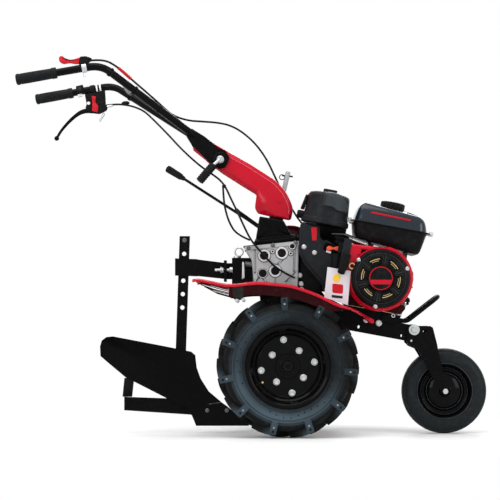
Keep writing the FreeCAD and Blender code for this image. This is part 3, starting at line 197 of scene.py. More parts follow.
def makeToning():
    # colour: the base lightened and darkened by slow noise, then a dust colour where dust gathers
    group, given, out = newGroup("toning", [("Base", "Color", (0.5, 0.5, 0.5, 1)), ("Spread", "Float", 0.12),
        ("Dust", "Color", (0.3, 0.27, 0.22, 1)), ("Dust amount", "Float", 0.05), ("Scale", "Float", 9.0),
        ("Vector", "Vector", (0, 0, 0))], [("Color", "Color"), ("Mask", "Float")])
    slow = addNode(group, "TexNoise", {"Detail": 4})
    swing = addNode(group, "MapRange", swingRange)
    times = addNode(group, "Math", operation="MULTIPLY")
    plus = addNode(group, "Math", {1: 1})
    scale = addNode(group, "VectorMath", operation="SCALE")
    specks = addNode(group, "TexNoise", {"Detail": 6, "Roughness": 0.7})
    finer = addNode(group, "Math", {1: 6}, operation="MULTIPLY")
    cut = addNode(group, "MapRange", {"From Min": 0.48, "From Max": 0.72})
    amount = addNode(group, "Math", operation="MULTIPLY")
    mix = addNode(group, "Mix", data_type="RGBA")
    join(group, (given, "Vector", slow, "Vector"), (given, "Vector", specks, "Vector"),
        (given, "Scale", slow, "Scale"), (given, "Scale", finer, 0), (finer, 0, specks, "Scale"),
        (slow, "Fac", swing, "Value"), (swing, 0, times, 0), (given, "Spread", times, 1), (times, 0, plus, 0),
        (given, "Base", scale, 0), (plus, 0, scale, "Scale"), (specks, "Fac", cut, "Value"),
        (cut, 0, amount, 0), (given, "Dust amount", amount, 1), (amount, 0, mix, "Factor"),
        (scale, 0, mix, "A"), (given, "Dust", mix, "B"), (mix, "Result", out, "Color"),
        (amount, 0, out, "Mask"))
    return group


def makePolish():
    # roughness: the base value moved up and down by noise, and raised under the mask
    group, given, out = newGroup("polish", [("Base", "Float", 0.4), ("Spread", "Float", 0.08),
        ("Mask", "Float", 0.0), ("Scale", "Float", 25.0), ("Vector", "Vector", (0, 0, 0))],
        [("Roughness", "Float")])
    noise = addNode(group, "TexNoise", {"Detail": 5})
    swing = addNode(group, "MapRange", swingRange)
    times = addNode(group, "Math", operation="MULTIPLY")
    plus = addNode(group, "Math")
    worn = addNode(group, "Math", {1: 0.5}, operation="MULTIPLY_ADD", use_clamp=True)
    join(group, (given, "Vector", noise, "Vector"), (given, "Scale", noise, "Scale"),
        (noise, "Fac", swing, "Value"), (swing, 0, times, 0), (given, "Spread", times, 1),
        (times, 0, plus, 0), (given, "Base", plus, 1), (given, "Mask", worn, 0), (plus, 0, worn, 2),
        (worn, 0, out, "Roughness"))
    return group


grain, toning, polish = makeGrain(), makeToning(), makePolish()

finishes = {
    "glossBlack": {"color": (0.002, 0.002, 0.0023), "rough": 0.13, "shine": 0.05, "coat": 0.05,
        "dust": 0.006},
    "satinBlack": {"color": (0.0028, 0.0028, 0.003), "rough": 0.32, "shine": 0.045, "dust": 0.01,
        "bump": 0.05},
    "redPaint": {"color": (0.45, 0.002, 0.016), "rough": 0.22, "shine": 0.14, "coat": 0.10, "spread": 0.05,
        "dust": 0.01},
    # redInShade is the red paint darkened as painted shade, for red faces that lie in shadow
    "redInShade": {"color": (0.020, 0.001, 0.002), "rough": 0.34, "shine": 0.06, "spread": 0.12, "dust": 0.02},
    # redHighlight is a pale red that paints a highlight along pressed edges
    "redHighlight": {"color": (0.62, 0.10, 0.14), "rough": 0.3, "shine": 0.3, "spread": 0.08},
    "redPlastic": {"color": (0.50, 0.005, 0.014), "rough": 0.32, "shine": 0.2, "spread": 0.04},
    # tankGloss's blue tint is painted reflection on the tank's top half
    "tankGloss": {"color": (0.006, 0.012, 0.020), "rough": 0.14, "shine": 0.34, "coat": 0.04, "dust": 0.006},
    "tankMatte": {"color": (0.004, 0.004, 0.005), "rough": 0.4, "shine": 0.08, "bump": 0.05},
    "charcoal": {"color": (0.010, 0.013, 0.016), "rough": 0.44, "shine": 0.10, "bump": 0.10, "grain": 700},
    "blackPlastic": {"color": (0.0045, 0.0045, 0.005), "rough": 0.4, "shine": 0.07, "bump": 0.10,
        "grain": 800},
    "heatBlack": {"color": (0.012, 0.011, 0.010), "rough": 0.62, "shine": 0.1, "bump": 0.12, "grain": 500},
    "castAluminium": {"color": (0.36, 0.38, 0.39), "rough": 0.42, "metal": 0.6, "bump": 0.4, "grain": 420,
        "spread": 0.16, "dust": 0.16},
    "engineGrey": {"color": (0.07, 0.072, 0.075), "rough": 0.5, "metal": 0.5, "bump": 0.3, "grain": 420},
    "zinc": {"color": (0.56, 0.58, 0.59), "rough": 0.3, "metal": 0.9, "bump": 0.03, "grain": 900,
        "spread": 0.06},
    "brass": {"color": (0.60, 0.46, 0.23), "rough": 0.32, "metal": 1.0},
    # tyreRubber's pale colour is partly the wall's paler rubber and partly painted sheen, picked by the
    # tyre's shade
    "tyreRubber": {"color": (0.0035, 0.004, 0.0045), "pale": (0.060, 0.090, 0.112), "rough": 0.55,
        "shine": 0.08, "bump": 0.22, "grain": 600, "dust": 0.03, "spread": 0.16},
    "tyreSmooth": {"color": (0.009, 0.012, 0.014), "rough": 0.46, "shine": 0.10, "bump": 0.10, "grain": 700,
        "dust": 0.04},
    "dullZinc": {"color": (0.36, 0.40, 0.43), "rough": 0.45, "metal": 0.15, "spread": 0.06, "bump": 0.02},
    # scoopPlastic's pale colour is a painted highlight on the air cleaner's raised scoop
    "scoopPlastic": {"color": (0.008, 0.010, 0.012), "pale": (0.032, 0.040, 0.046), "rough": 0.44,
        "shine": 0.10, "bump": 0.10, "grain": 700},
    # rimHighlight is a pale grey for painted highlight rings on the front rim
    "rimHighlight": {"color": (0.035, 0.042, 0.048), "rough": 0.35, "shine": 0.3},
    "palePip": {"color": (0.22, 0.26, 0.30), "rough": 0.5},
    "darkSteel": {"color": (0.006, 0.006, 0.006), "rough": 0.35, "shine": 0.12, "metal": 0.2, "bump": 0.05},
    "gripRubber": {"color": (0.006, 0.007, 0.008), "rough": 0.5, "shine": 0.09, "bump": 0.15, "grain": 900},
    "cableSheath": {"color": (0.004, 0.004, 0.0045), "rough": 0.38, "shine": 0.12, "bump": 0.04},
    "whiteCard": {"color": (0.66, 0.67, 0.71), "rough": 0.5, "shine": 0.2, "bump": 0.03, "spread": 0.02},
    # darkPit is near-black for the shade inside openings and recesses (painted shade), and for the casing's
    # gasket line
    "darkPit": {"color": (0.0015, 0.0015, 0.0015), "rough": 0.7, "shine": 0.02},
    "greyPlastic": {"color": (0.014, 0.016, 0.018), "rough": 0.36, "shine": 0.14, "bump": 0.06, "grain": 800},
    "orangePlastic": {"color": (0.75, 0.07, 0.012), "rough": 0.36, "spread": 0.05},
    "machined": {"color": (0.58, 0.60, 0.60), "rough": 0.38, "metal": 0.15, "bump": 0.05, "grain": 500},
    "whiteMark": {"color": (0.75, 0.75, 0.75), "rough": 0.45, "spread": 0.03},
    "yellowMark": {"color": (0.85, 0.55, 0.04), "rough": 0.45, "spread": 0.05},
    "greySteel": {"color": (0.13, 0.13, 0.13), "rough": 0.42, "metal": 0.8, "bump": 0.1},
    "ploughSteel": {"color": (0.0016, 0.0016, 0.0018), "rough": 0.16, "shine": 0.03, "coat": 0.05,
        "bump": 0.03, "dust": 0.006},
}


def makeFinish(name, values):
    stuff = bpy.data.materials.new(name)
    stuff.use_nodes = True
    tree = stuff.node_tree
    shader = tree.nodes["Principled BSDF"]
    where = addNode(tree, "TexCoord")
    tone = addNode(tree, "Group", node_tree=toning)
    tone.inputs["Base"].default_value = (*values["color"], 1)
    tone.inputs["Spread"].default_value = values.get("spread", 0.10)
    tone.inputs["Dust amount"].default_value = values.get("dust", 0.03)
    if "pale" in values:
        # the piece's own "shade" picks between the two colours
        shade = addNode(tree, "Attribute", attribute_name="shade")
        blend = addNode(tree, "Mix", {"A": (*values["color"], 1), "B": (*values["pale"], 1)},
            data_type="RGBA")
        join(tree, (shade, "Fac", blend, "Factor"), (blend, "Result", tone, "Base"))
    rough = addNode(tree, "Group", {"Base": values["rough"], "Spread": 0.2 * values["rough"]},
        node_tree=polish)
    join(tree, (where, "Object", tone, "Vector"), (tone, "Color", shader, "Base Color"),
        (where, "Object", rough, "Vector"), (tone, "Mask", rough, "Mask"),
        (rough, "Roughness", shader, "Roughness"))
    if values.get("bump"):
        height = addNode(tree, "Group", {"Scale": values.get("grain", 500)}, node_tree=grain)
        bump = addNode(tree, "Bump", {"Strength": values["bump"], "Distance": 0.001})
        join(tree, (where, "Object", height, "Vector"), (height, "Height", bump, "Height"),
            (bump, "Normal", shader, "Normal"))
    shader.inputs["Metallic"].default_value = values.get("metal", 0)
    shader.inputs["Specular IOR Level"].default_value = values.get("shine", 0.5)
    shader.inputs["Coat Weight"].default_value = values.get("coat", 0)
    shader.inputs["Coat Roughness"].default_value = 0.08
    return stuff


materials = {name: makeFinish(name, values) for name, values in finishes.items()}
print("finishes", len(materials))

# what the solids that stay in view are made of
nodeFinish = {
    "castAluminium": ["gearbox_case"],
    "engineGrey": ["engine_block", "cylinder_head", "carburettor"],
    "redPaint": ["engine_shroud", "belt_guard", "fender_right", "fender_left", "column_arm"],
    "tankGloss": ["fuel_tank"],
    "charcoal": ["air_cleaner", "air_duct", "starter_strap"],
    "heatBlack": ["muffler"],
    "blackPlastic": ["fuel_cap", "recoil_starter", "starter_handle", "throttle_mount", "clutch_perch",
        "stop_switch"],
    "redPlastic": ["throttle_lever"],
    "zinc": ["axle_shaft", "fork_bolts", "nose_spacer", "clamp_bolt", "hitch_pin", "hitch_bolts",
        "lock_lever"],
    "tyreRubber": ["tyre_right", "tyre_left", "front_tyre"],
    "gripRubber": ["handle_grips"],
    "cableSheath": ["throttle_cable", "clutch_cable", "stop_wire"],
    "whiteCard": ["hang_tag"],
    "glossBlack": ["wheel_rim_right", "wheel_rim_left", "front_rim", "handle_tubes"],
    "satinBlack": ["gearbox_leg", "frame_rails", "frame_mount", "engine_bearer", "lifting_loop", "front_fork",
        "shift_cover", "column_stub", "column_hub", "gear_lever", "handle_yoke", "clutch_lever",
        "hitch_bracket", "drawbar", "plough_stem", "stem_clamp", "landside", "plough_brace"],
    "ploughSteel": ["mouldboard", "plough_share"],
}

for finishName, names in nodeFinish.items():
    for name in names:
        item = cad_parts[name]
        item.data.materials.clear()
        item.data.materials.append(materials[finishName])
print("frame dressed")

mm = 0.001
sides = {"Right": -1, "Left": 1}


def upright(x, y, z):
    # millimetres ahead of the axle, to the left and up, to metres
    return np.stack(np.broadcast_arrays(axleAhead + mm * x, mm * y, mm * z), -1)


def tilted(u, y, w):
    # the engine's frame: u along it and w square to it, turned nose down about the crank line
    x = crank[0] + mm * (u * math.cos(frameTilt) + w * math.sin(frameTilt))
    z = crank[1] + mm * (w * math.cos(frameTilt) - u * math.sin(frameTilt))
    return np.stack(np.broadcast_arrays(x, mm * y, z), -1)


def gridFaces(rows, columns, wrapRows=False, wrapColumns=False):
    # quads between neighbouring rows and columns, going round where the grid wraps
    i, j = np.meshgrid(np.arange(rows if wrapRows else rows - 1),
        np.arange(columns if wrapColumns else columns - 1), indexing="ij")
    a, b, c, d = i, (i + 1) % rows, j, (j + 1) % columns
    return np.stack([a * columns + c, b * columns + c, b * columns + d, a * columns + d], -1).reshape(-1, 4)


def ringFaces(rows, columns):
    # the same for rows that are closed rings
    return gridFaces(rows, columns, wrapColumns=True)


def spots(place, rows):
    # rows of three numbers, put in their places
    return place(*np.array(rows, float).T)


def addWall(item, thickness, offset=0):
    # a sheet as thick as pressed steel, in metres
    sheet = item.modifiers.new("wall", "SOLIDIFY")
    sheet.thickness = thickness
    sheet.offset = offset


def makePiece(name, points, faces, finish, body="chassis", nodes=(), sharp=32, shade=None):
    # smooth but for edges sharper than `sharp` degrees; it rides on a body of the frame, which is the
    # chassis where a piece names no other
    mesh = bpy.data.meshes.new(name)
    mesh.from_pydata(np.asarray(points, float).reshape(-1, 3).tolist(), [], np.asarray(faces).tolist())
    if shade is not None:
        layer = mesh.attributes.new("shade", "FLOAT", "POINT")
        layer.data.foreach_set("value", np.asarray(shade, float).ravel())
    work = bmesh.new()
    work.from_mesh(mesh)
    bmesh.ops.remove_doubles(work, verts=work.verts, dist=2e-6)
    bmesh.ops.recalc_face_normals(work, faces=work.faces)
    work.to_mesh(mesh)
    work.free()
    mesh.shade_smooth()
    mesh.set_sharp_from_angle(angle=math.radians(sharp))
    item = bpy.data.objects.new(name, mesh)
    scene.collection.objects.link(item)
    mesh.materials.append(materials[finish])
    if body:
        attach(item, body)
    if nodes:
        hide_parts(*nodes)
    return item


def roundedLoop(points, reach, steps=5):
    # each corner P becomes (1-t)^2 A + 2t(1-t) P + t^2 B, where A and B lie `reach` along its two sides
    points = np.asarray(points, float)
    before, after = np.roll(points, 1, 0) - points, np.roll(points, -1, 0) - points
    lengthBefore = np.linalg.norm(before, axis=1, keepdims=True)
    lengthAfter = np.linalg.norm(after, axis=1, keepdims=True)
    reach = np.broadcast_to(np.reshape(np.asarray(reach, float), (-1, 1)), (len(points), 1))
    a = points + before / lengthBefore * np.minimum(reach, 0.48 * lengthBefore)
    b = points + after / lengthAfter * np.minimum(reach, 0.48 * lengthAfter)
    t = np.linspace(0, 1, steps + 1)[None, :, None]
    curve = (1 - t) ** 2 * a[:, None] + 2 * t * (1 - t) * points[:, None] + t ** 2 * b[:, None]
    return curve.reshape(-1, points.shape[1])


def roundedPath(points, reach, steps=6):
    # the same for an open path, whose two ends stay
    points = np.asarray(points, float)
    if len(points) < 3:
        return points
    loop = roundedLoop(points, reach, steps)
    return np.vstack([points[:1], loop[steps + 1:-(steps + 1)], points[-1:]])


def arc(radius, start, end, count):
    # points of a circle from one angle to another, in degrees
    turn = np.radians(np.linspace(start, end, count))
    return radius * np.stack([np.cos(turn), np.sin(turn)], -1)


def drawnIn(loop, distance):
    # the loop moved inwards square to itself
    loop = np.asarray(loop, float)
    run = np.roll(loop, -1, 0) - np.roll(loop, 1, 0)
    area = np.sum(loop[:, 0] * np.roll(loop[:, 1], -1) - np.roll(loop[:, 0], -1) * loop[:, 1])
    outward = np.stack([run[:, 1], -run[:, 0]], -1) * np.sign(area)
    outward /= np.maximum(np.linalg.norm(outward, axis=1, keepdims=True), 1e-9)
    return loop - outward * distance


def softBlock(name, loop, low, high, edge, place, finish, body="chassis", nodes=(), steps=4):
    # a loop (a, b) carried from low to high; at both ends it is drawn in by edge*(1-sin t) while it
    # moves edge*(1-cos t), and closes flat on its middle
    t = np.radians(np.linspace(0, 90, steps + 1))
    inset = edge * (1 - np.sin(t))
    levels = low + edge * (1 - np.cos(t))
    rings = [drawnIn(loop, d) for d in inset]
    middle = loop.mean(0)
    cap = [middle + (rings[0] - middle) * f for f in (0.0, 0.25, 0.6)]
    rows = np.stack(cap + rings + rings[::-1] + cap[::-1])
    heights = np.concatenate([[low] * 3, levels, (low + high) - levels[::-1], [high] * 3])
    y = np.broadcast_to(heights[:, None], rows.shape[:2])
    points = place(rows[..., 0], y, rows[..., 1])
    return makePiece(name, points, ringFaces(*y.shape), finish, body, nodes)


def block(name, points, reach, *rest, **more):
    # a soft block whose outline has its corners rounded
    return softBlock(name, roundedLoop(points, reach), *rest, **more)


def axes(direction):
    # a direction's own unit vector and two more square to it
    direction = np.asarray(direction, float) / np.linalg.norm(direction)
    helper = np.array([0, 0, 1.0]) if abs(direction[2]) < 0.9 else np.array([1.0, 0, 0])
    first = np.cross(helper, direction)
    first /= np.linalg.norm(first)
    return direction, first, np.cross(direction, first)


def turnedPoints(profile, centre, direction, count=64, start=0.0):
    # (radius, along) carried round a line: centre + along*d + radius*(cos t e1 + sin t e2)
    profile = np.asarray(profile, float) * mm
    direction, first, second = axes(direction)
    t = start + np.linspace(0, 2 * np.pi, count, endpoint=False)
    ring = np.cos(t)[:, None] * first + np.sin(t)[:, None] * second
    return (np.asarray(centre) + profile[:, 1, None, None] * direction
        + profile[:, 0, None, None] * ring[None])


def turned(name, profile, centre, direction, finish, body="chassis", nodes=(), count=64):
    points = turnedPoints(profile, centre, direction, count)
    return makePiece(name, points, ringFaces(len(profile), count), finish, body, nodes)


def bar(name, path, radius, finish, body="chassis", nodes=(), corners=14):
    return makePiece(name, *barPoints(path, radius, corners), finish, body, nodes, 40)


def barPoints(path, radius, corners):
    # a round bar: rings of the given radius square to the path, with small rounded ends
    path = np.asarray(path, float)
    radius = np.broadcast_to(np.asarray(radius, float) * mm, (len(path),)).copy()
    run = np.gradient(path, axis=0)
    run /= np.linalg.norm(run, axis=1, keepdims=True)
    span = path[-1] - path[0]
    helper = np.eye(3)[np.argmin(np.abs(span) + np.abs(run).max(0))]
    first = np.cross(run, helper)
    first /= np.linalg.norm(first, axis=1, keepdims=True)
    second = np.cross(run, first)
    ends = np.array([0.0, 0.75, 1.0])
    r0, r1 = radius[0], radius[-1]
    path = np.vstack([np.repeat(path[:1], 2, 0), path[:1] + run[:1] * 0.25 * r0, path[1:-1],
        path[-1:] - run[-1:] * 0.25 * r1, np.repeat(path[-1:], 2, 0)])
    first = np.vstack([np.repeat(first[:1], 3, 0), first[1:-1], np.repeat(first[-1:], 3, 0)])
    second = np.vstack([np.repeat(second[:1], 3, 0), second[1:-1], np.repeat(second[-1:], 3, 0)])
    radius = np.concatenate([ends * r0, radius[1:-1], ends[::-1] * r1])
    t = np.linspace(0, 2 * np.pi, corners, endpoint=False)
    ring = np.cos(t)[None, :, None] * first[:, None] + np.sin(t)[None, :, None] * second[:, None]
    points = path[:, None] + radius[:, None, None] * ring
    return points, ringFaces(len(path), corners)


def joined(parts):
    # several (points, faces) sets as one
    points, faces, start = [], [], 0
    for p, f in parts:
        p = p.reshape(-1, 3)
        points.append(p)
        faces.append(np.asarray(f) + start)
        start += len(p)
    return np.vstack(points), np.vstack(faces)


def repeated(base, faces, centres):
    # one (points, faces) set at every centre
    steps = np.arange(len(centres))[:, None, None] * len(base)
    return np.asarray(centres, float)[:, None] + base[None], (faces[None] + steps).reshape(-1, 4)


def bolts(name, centres, direction, across, finish, body="chassis", high=None, washer=None):
    # hexagon heads on round washers, the same two profiles repeated at every centre
    half = across / 2 / math.cos(math.pi / 6)
    high = high or 0.42 * across
    washer = washer or 0.68 * across
    under = [(0, -2), (washer, -2), (washer, 1.2), (washer - 0.8, 1.8), (0, 1.8)]
    head = [(0, 1.6), (half, 1.6), (half, high - 1.2), (half - 1.4, high), (half * 0.5, high + 0.1),
        (half * 0.4, high - 0.6), (0, high - 0.6)]
    parts = []
    for profile, count in ((under, 20), (head, 6)):
        base = turnedPoints(profile, (0, 0, 0), direction, count, 0.2).reshape(-1, 3)
        parts.append(repeated(base, ringFaces(len(profile), count), centres))
    return makePiece(name, *joined(parts), finish, body, sharp=30)


# The drive tyres: 11 bars a side, each a block that runs from a foot on the sidewall to the middle.
tyreShape = {
    "barCount": 11, "firstBar": -5.0, "sweep": -15.0, "halfTop": 2.7, "halfFoot": 3.7,
    # matching places along the profile, (radius, aside): the carcass, and the face of a bar
    "carcass": [(219.5, 0), (219.3, 5), (219, 12), (218, 21), (215.5, 30), (211, 37), (206.5, 40.8),
        (201, 43.6), (195.5, 45.2), (190.5, 46.2), (187.5, 46.6), (184, 46.8)],
    "bar": [(240, 0), (240, 5), (239.6, 12), (238, 24), (235.8, 35), (233.6, 43.5), (230.5, 48.6),
        (225, 51.2), (210, 52.3), (193.5, 52.4), (190, 51.5), (184, 46.8)],
    "sidewall": [(181, 47.6), (178.5, 47.7), (177, 46.9), (168, 46.3), (160, 45.2), (155, 44.4),
        (153.5, 45.2), (151.5, 44.7), (150, 42.6), (146.5, 41.4), (144.5, 40.9), (142.5, 38.6), (141, 37.0),
        (131, 36), (127.6, 31), (127.4, 10), (127.4, 0)],
}


def rise(x, low, high):
    # a straight rise from 0 at low to 1 at high
    return np.clip((x - low) / (high - low), 0, 1)


def smoothStep(x, low, high):
    # the same rise with level ends, 3t^2 - 2t^3
    t = rise(x, low, high)
    return t * t * (3 - 2 * t)


def onWheel(side, radius, turn, out):
    # places on a drive wheel: millimetres from its axle and out from its middle plane
    return np.stack([axleAhead + mm * radius * np.cos(turn), 0 * turn + side * (halfTrack + mm * out),
        wheelUp + mm * radius * np.sin(turn)], -1)


def makeTyre(label):
    # angle = u + sweep*f, so that the bars' edges lie along the grid; the surface is the carcass
    # plus mask(u, s) times the way from it to the bar's face
    side = sides[label]
    shape = tyreShape
    low, tall = np.array(shape["carcass"], float), np.array(shape["bar"], float)
    knots = np.arange(len(low))
    fine = np.unique(np.concatenate([np.linspace(0, 10, 31), [10.5, 11]]))
    halfLow = np.stack([np.interp(fine, knots, low[:, k]) for k in (0, 1)], -1)
    halfTall = np.stack([np.interp(fine, knots, tall[:, k]) for k in (0, 1)], -1)
    wallKnots = np.array(shape["sidewall"], float)
    halfLow = np.vstack([halfLow, wallKnots])
    halfTall = np.vstack([halfTall, wallKnots])
    # from the outer wall, over the tread, to the inner wall
    flip = np.array([1, -1.0])
    lowLine = np.vstack([halfLow[::-1], (halfLow * flip)[1:-1]])
    tallLine = np.vstack([halfTall[::-1], (halfTall * flip)[1:-1]])
    aside = tallLine[:, 1]
    pitch = 360 / shape["barCount"]
    near = np.array([-4.4, -3.75, -2.7, -2.5, -1.2, 0, 1.2, 2.5, 2.7, 3.75, 4.4])
    between = np.array([6.3, 8.2, 10.1])
    one = np.concatenate([near, between, near + pitch / 2, between + pitch / 2])
    u = (one[None] + pitch * np.arange(shape["barCount"])[:, None]).ravel()
    lead = shape["sweep"] * (1 - rise(np.abs(aside), 4, 45.5))
    lead = np.where(tallLine[:, 0] < 226, 0, lead)
    angle = np.radians(u[None] + lead[:, None] + shape["firstBar"])
    mask = np.zeros((len(aside), len(u)))
    for half, offset in ((1, 0.0), (-1, pitch / 2)):
        away = np.abs((u - offset + pitch / 2) % pitch - pitch / 2)
        tooth = 1 - rise(away, shape["halfTop"], shape["halfFoot"])
        reach = smoothStep(half * aside, -10, -5)
        mask = np.maximum(mask, reach[:, None] * tooth[None])
    radius = lowLine[:, :1] + (tallLine[:, :1] - lowLine[:, :1]) * mask
    across = lowLine[:, 1:] + (tallLine[:, 1:] - lowLine[:, 1:]) * mask
    # paler on the wall and on the foot of each bar, darker on the tread; the wall's paleness is partly
    # its paler rubber and partly painted light: a painted sheen that is brightest towards the bottom and
    # the upper left, with painted shade at the top; fine rings run round the wall
    paintedLight = (0.10 + 0.75 * smoothStep(np.cos(angle - math.radians(-100)), -0.1, 1.0)
        + 0.34 * smoothStep(np.cos(angle - math.radians(158)), 0.2, 1.0))
    rings = 0.72 + 0.28 * np.cos(2 * np.pi * (radius - 148) / 9.5)
    wall = smoothStep(-radius, -204, -184) * (0.2 + 0.8 * smoothStep(radius, 145, 163)) * rings
    foot = (0.45 * smoothStep(mask, 0.3, 0.9) * smoothStep(np.abs(across), 20, 48)
        * smoothStep(radius, 184, 192))
    shade = np.maximum(foot * (0.45 + paintedLight), wall * paintedLight)
    makePiece("driveTyre" + label, onWheel(side, radius, angle, across),
        gridFaces(*angle.shape, wrapRows=True, wrapColumns=True), "tyreRubber", "drive_wheels",
        ("tyre_" + label.lower(),), 28, shade)
    # moulded marks: a pip on every foot and small pits round the wall
    turn = np.radians(shape["firstBar"] + pitch * np.arange(shape["barCount"]))
    for name, r, size, finish, out in (("Pips", 209, 3.2, "palePip", 52.2),
            ("Pits", 222, 4.6, "gripRubber", 51.5)):
        dots("tyre" + name + label, onWheel(side, r, turn, out), (0, side, 0), size, finish, "drive_wheels")
    turn = np.radians(np.concatenate([np.linspace(-112, -28, 11), np.linspace(-200, -160, 4),
        np.linspace(70, 150, 8), [12, 24, 40]]))
    r = 166 + 6 * np.sin(7 * turn)
    dots("tyreMarks" + label, onWheel(side, r, turn, 46.2), (0, side, 0), 2.6, "gripRubber", "drive_wheels")


def dots(name, places, direction, size, finish, body, count=12):
    # low domes: radius size*cos t, height 0.35*size*sin t
    t = np.radians(np.linspace(0, 90, 4))
    profile = np.stack([size * np.cos(t), 0.35 * size * np.sin(t)], -1)
    profile = np.vstack([[0, -0.4 * size], [size, -0.4 * size], profile])
    base = turnedPoints(profile, (0, 0, 0), direction, count).reshape(-1, 3)
    faces = ringFaces(len(profile), count)
    return makePiece(name, *repeated(base, faces, places), finish, body)


rimShape = {
    # (radius, aside) of the outer face, from the rolled edge down the barrel to the hub
    "outer": [(131, 36.2), (136, 36.8), (139.8, 37.3), (141, 38.4), (141.2, 39.8), (140.2, 41), (138, 41.2),
        (134, 40.2), (130, 38.6), (126.5, 36.2), (124, 32), (122.6, 27), (121.6, 23), (119.6, 19.5),
        (115.6, 16), (111, 12.2), (107, 8), (104.4, 4.6), (102.8, 3.5), (100.6, 4.3), (98.4, 4.3),
        (96.8, 3.5), (60, 3.5), (44.5, 3.6), (43.4, 5), (41, 5.2), (39.8, 3.9), (29, 3.9), (28, 6.6),
        (26, 7.4), (15.4, 7.4)],
    "bolts": [(91, 9), (91, 99), (91, 189), (91, 279), (65, 54), (65, 144), (65, 234), (65, 324)],
    "valve": (106, 212),
}


def makeRim(label):
    side = sides[label]
    outer = np.array(rimShape["outer"], float)
    inner = [(15.4, -60), (15.4, -132), (27, -132), (27, -12), (30, -4), (96, -3.5), (103, -4.5), (110, -12),
        (118, -20), (121, -28), (124, -33), (128, -38), (134, -40.4), (138, -41.2), (141.2, -39.8),
        (139.8, -37.3), (131, -36.2), (126.3, -32), (126.3, 32)]
    profile = np.vstack([outer, inner, outer[:1]])
    centre = (axleAhead, side * halfTrack, wheelUp)
    turned("rim" + label, profile, centre, (0, side, 0), "glossBlack", "drive_wheels",
        ("wheel_rim_" + label.lower(),), 96)
    r, a = np.array(rimShape["bolts"], float).T
    bolts("rimBolts" + label, onWheel(side, r, np.radians(a), 3.5), (0, side, 0), 17, "zinc", "drive_wheels",
        high=11)
    r, a = rimShape["valve"]
    a = math.radians(a)
    start = onWheel(side, r, a, 10)
    lean = np.array([-0.25 * math.cos(a), side, -0.25 * math.sin(a)])
    turned("valve" + label, [(0, -6), (5.5, -6), (5, 2), (3.6, 6), (3.6, 14), (4.4, 15), (4.4, 22), (3.2, 24),
        (0, 24)], start, lean, "brass", "drive_wheels", count=20)


def makeAxle():
    # a hollow-ended shaft with a six-sided boss at each end
    end = halfTrack / mm + 13.5
    half = np.array([(0, end - 16), (9, end - 16), (9.5, end - 1.5), (11, end), (14, end), (15, end - 1.2)])
    profile = np.vstack([half, (half * [1, -1])[::-1]])
    turned("driveAxle", profile, (axleAhead, 0, wheelUp), (0, 1, 0), "darkSteel", "drive_wheels",
        ("axle_shaft",), 48)
    for label, side in sides.items():
        turned("axleNut" + label, [(15.2, 5), (21, 5), (22.5, 6.5), (22.5, 10), (20.5, 11.6), (15.2, 11.6),
            (15.2, 5)], (axleAhead, side * halfTrack, wheelUp), (0, side, 0), "glossBlack", "drive_wheels",
            count=6)


frontWheel = {
    "ahead": 549.5, "up": 148,
    "tyre": [(87.6, 0), (87.6, 28), (89.5, 33), (93, 36.2), (97, 36.6), (99, 35.8), (101, 36.9), (106, 37.8),
        (116, 38), (124, 37.2), (131, 34.8), (136, 31.2), (138, 29.6), (140.6, 29.8), (143.6, 26.8),
        (145, 22.5), (145.2, 21.8), (142.6, 21), (142.6, 18), (146.2, 17.4), (147.2, 12), (147.4, 9.6),
        (144.6, 8.9), (144.6, 6.2), (147.7, 5.6), (148, 0)],
    "rim": [(87, 27), (90, 30), (94, 34.6), (96.4, 37.2), (96.6, 38.6), (95, 39.4), (92.6, 38.4), (89, 33.6),
        (86.5, 28), (84.5, 21), (82.4, 14.5), (80.6, 11.5), (78.5, 9.6), (73, 8.2), (69.4, 8.8), (66.6, 11.2),
        (64, 15.6), (60, 20.4), (50, 24.8), (40, 28.8), (28, 30.8), (20, 33.4), (16.5, 38), (15.5, 44),
        (13.5, 47), (12, 48.5), (12, 55.6), (6.4, 55.6)],
}


def makeFrontWheel():
    # tyre and rim are both a half profile and its mirror image, turned about the wheel's line
    centre = upright(frontWheel["ahead"], 0, frontWheel["up"])
    for name, profile, finish, node in (("frontTyre", frontWheel["tyre"], "tyreSmooth", "front_tyre"),
            ("frontRim", frontWheel["rim"], "glossBlack", "front_rim")):
        half = np.array(profile, float)
        whole = np.vstack([half, (half * [1, -1])[::-1], half[:1]])
        turned(name, whole, centre, (0, 1, 0), finish, "support_wheel", (node,), 96)
    # painted highlight: thin pale rings where the rim's edges catch the light
    for label, side in sides.items():
        for number, (r, aside) in enumerate(((96.2, 38.9), (81.4, 13.6), (62.6, 17.6))):
            a = np.radians(np.linspace(0, 360, 9)[:-1])
            profile = np.stack([r + 0.7 * np.cos(a), aside + 0.7 * np.sin(a)], -1)
            turned(f"rimGlint{label}{number}", np.vstack([profile, profile[:1]]), centre, (0, side, 0),
                "rimHighlight", "support_wheel", count=96)


for label in sides:
    makeTyre(label)
    makeRim(label)
makeAxle()
makeFrontWheel()
print("wheels")


def sectorLoop(inner, outer, start, end):
    # a piece of a flat ring: out along one arc and back along the other
    return np.vstack([arc(outer, start, end, 14), arc(inner, end, start, 14)])


recoilShape = {
    "front": 160,
    "cover": [(0, 0), (100, 0), (100, 12), (99.2, 15), (97, 18), (93, 21), (86.8, 22.6), (86, 21.2),
        (84.4, 21.2), (83.6, 24), (80, 26.6), (74, 28.0), (44, 28.2), (43, 27), (41.6, 27), (40.8, 29.2),
        (39, 30), (0, 30)],
    "windows": [44, 108, 168, 228, 290, 348], "windowHalf": 19, "vents": 19,
    "bolts": [(96, 140), (95, 20), (96, 259)],
}


def facePoint(y):
    # a flat loop on a plane square to Y, about the crank line and not turned with the frame
    def place(a, depth, b):
        return np.stack(np.broadcast_arrays(crank[0] + mm * a, -mm * (y + depth), crank[1] + mm * b), -1)
    return place


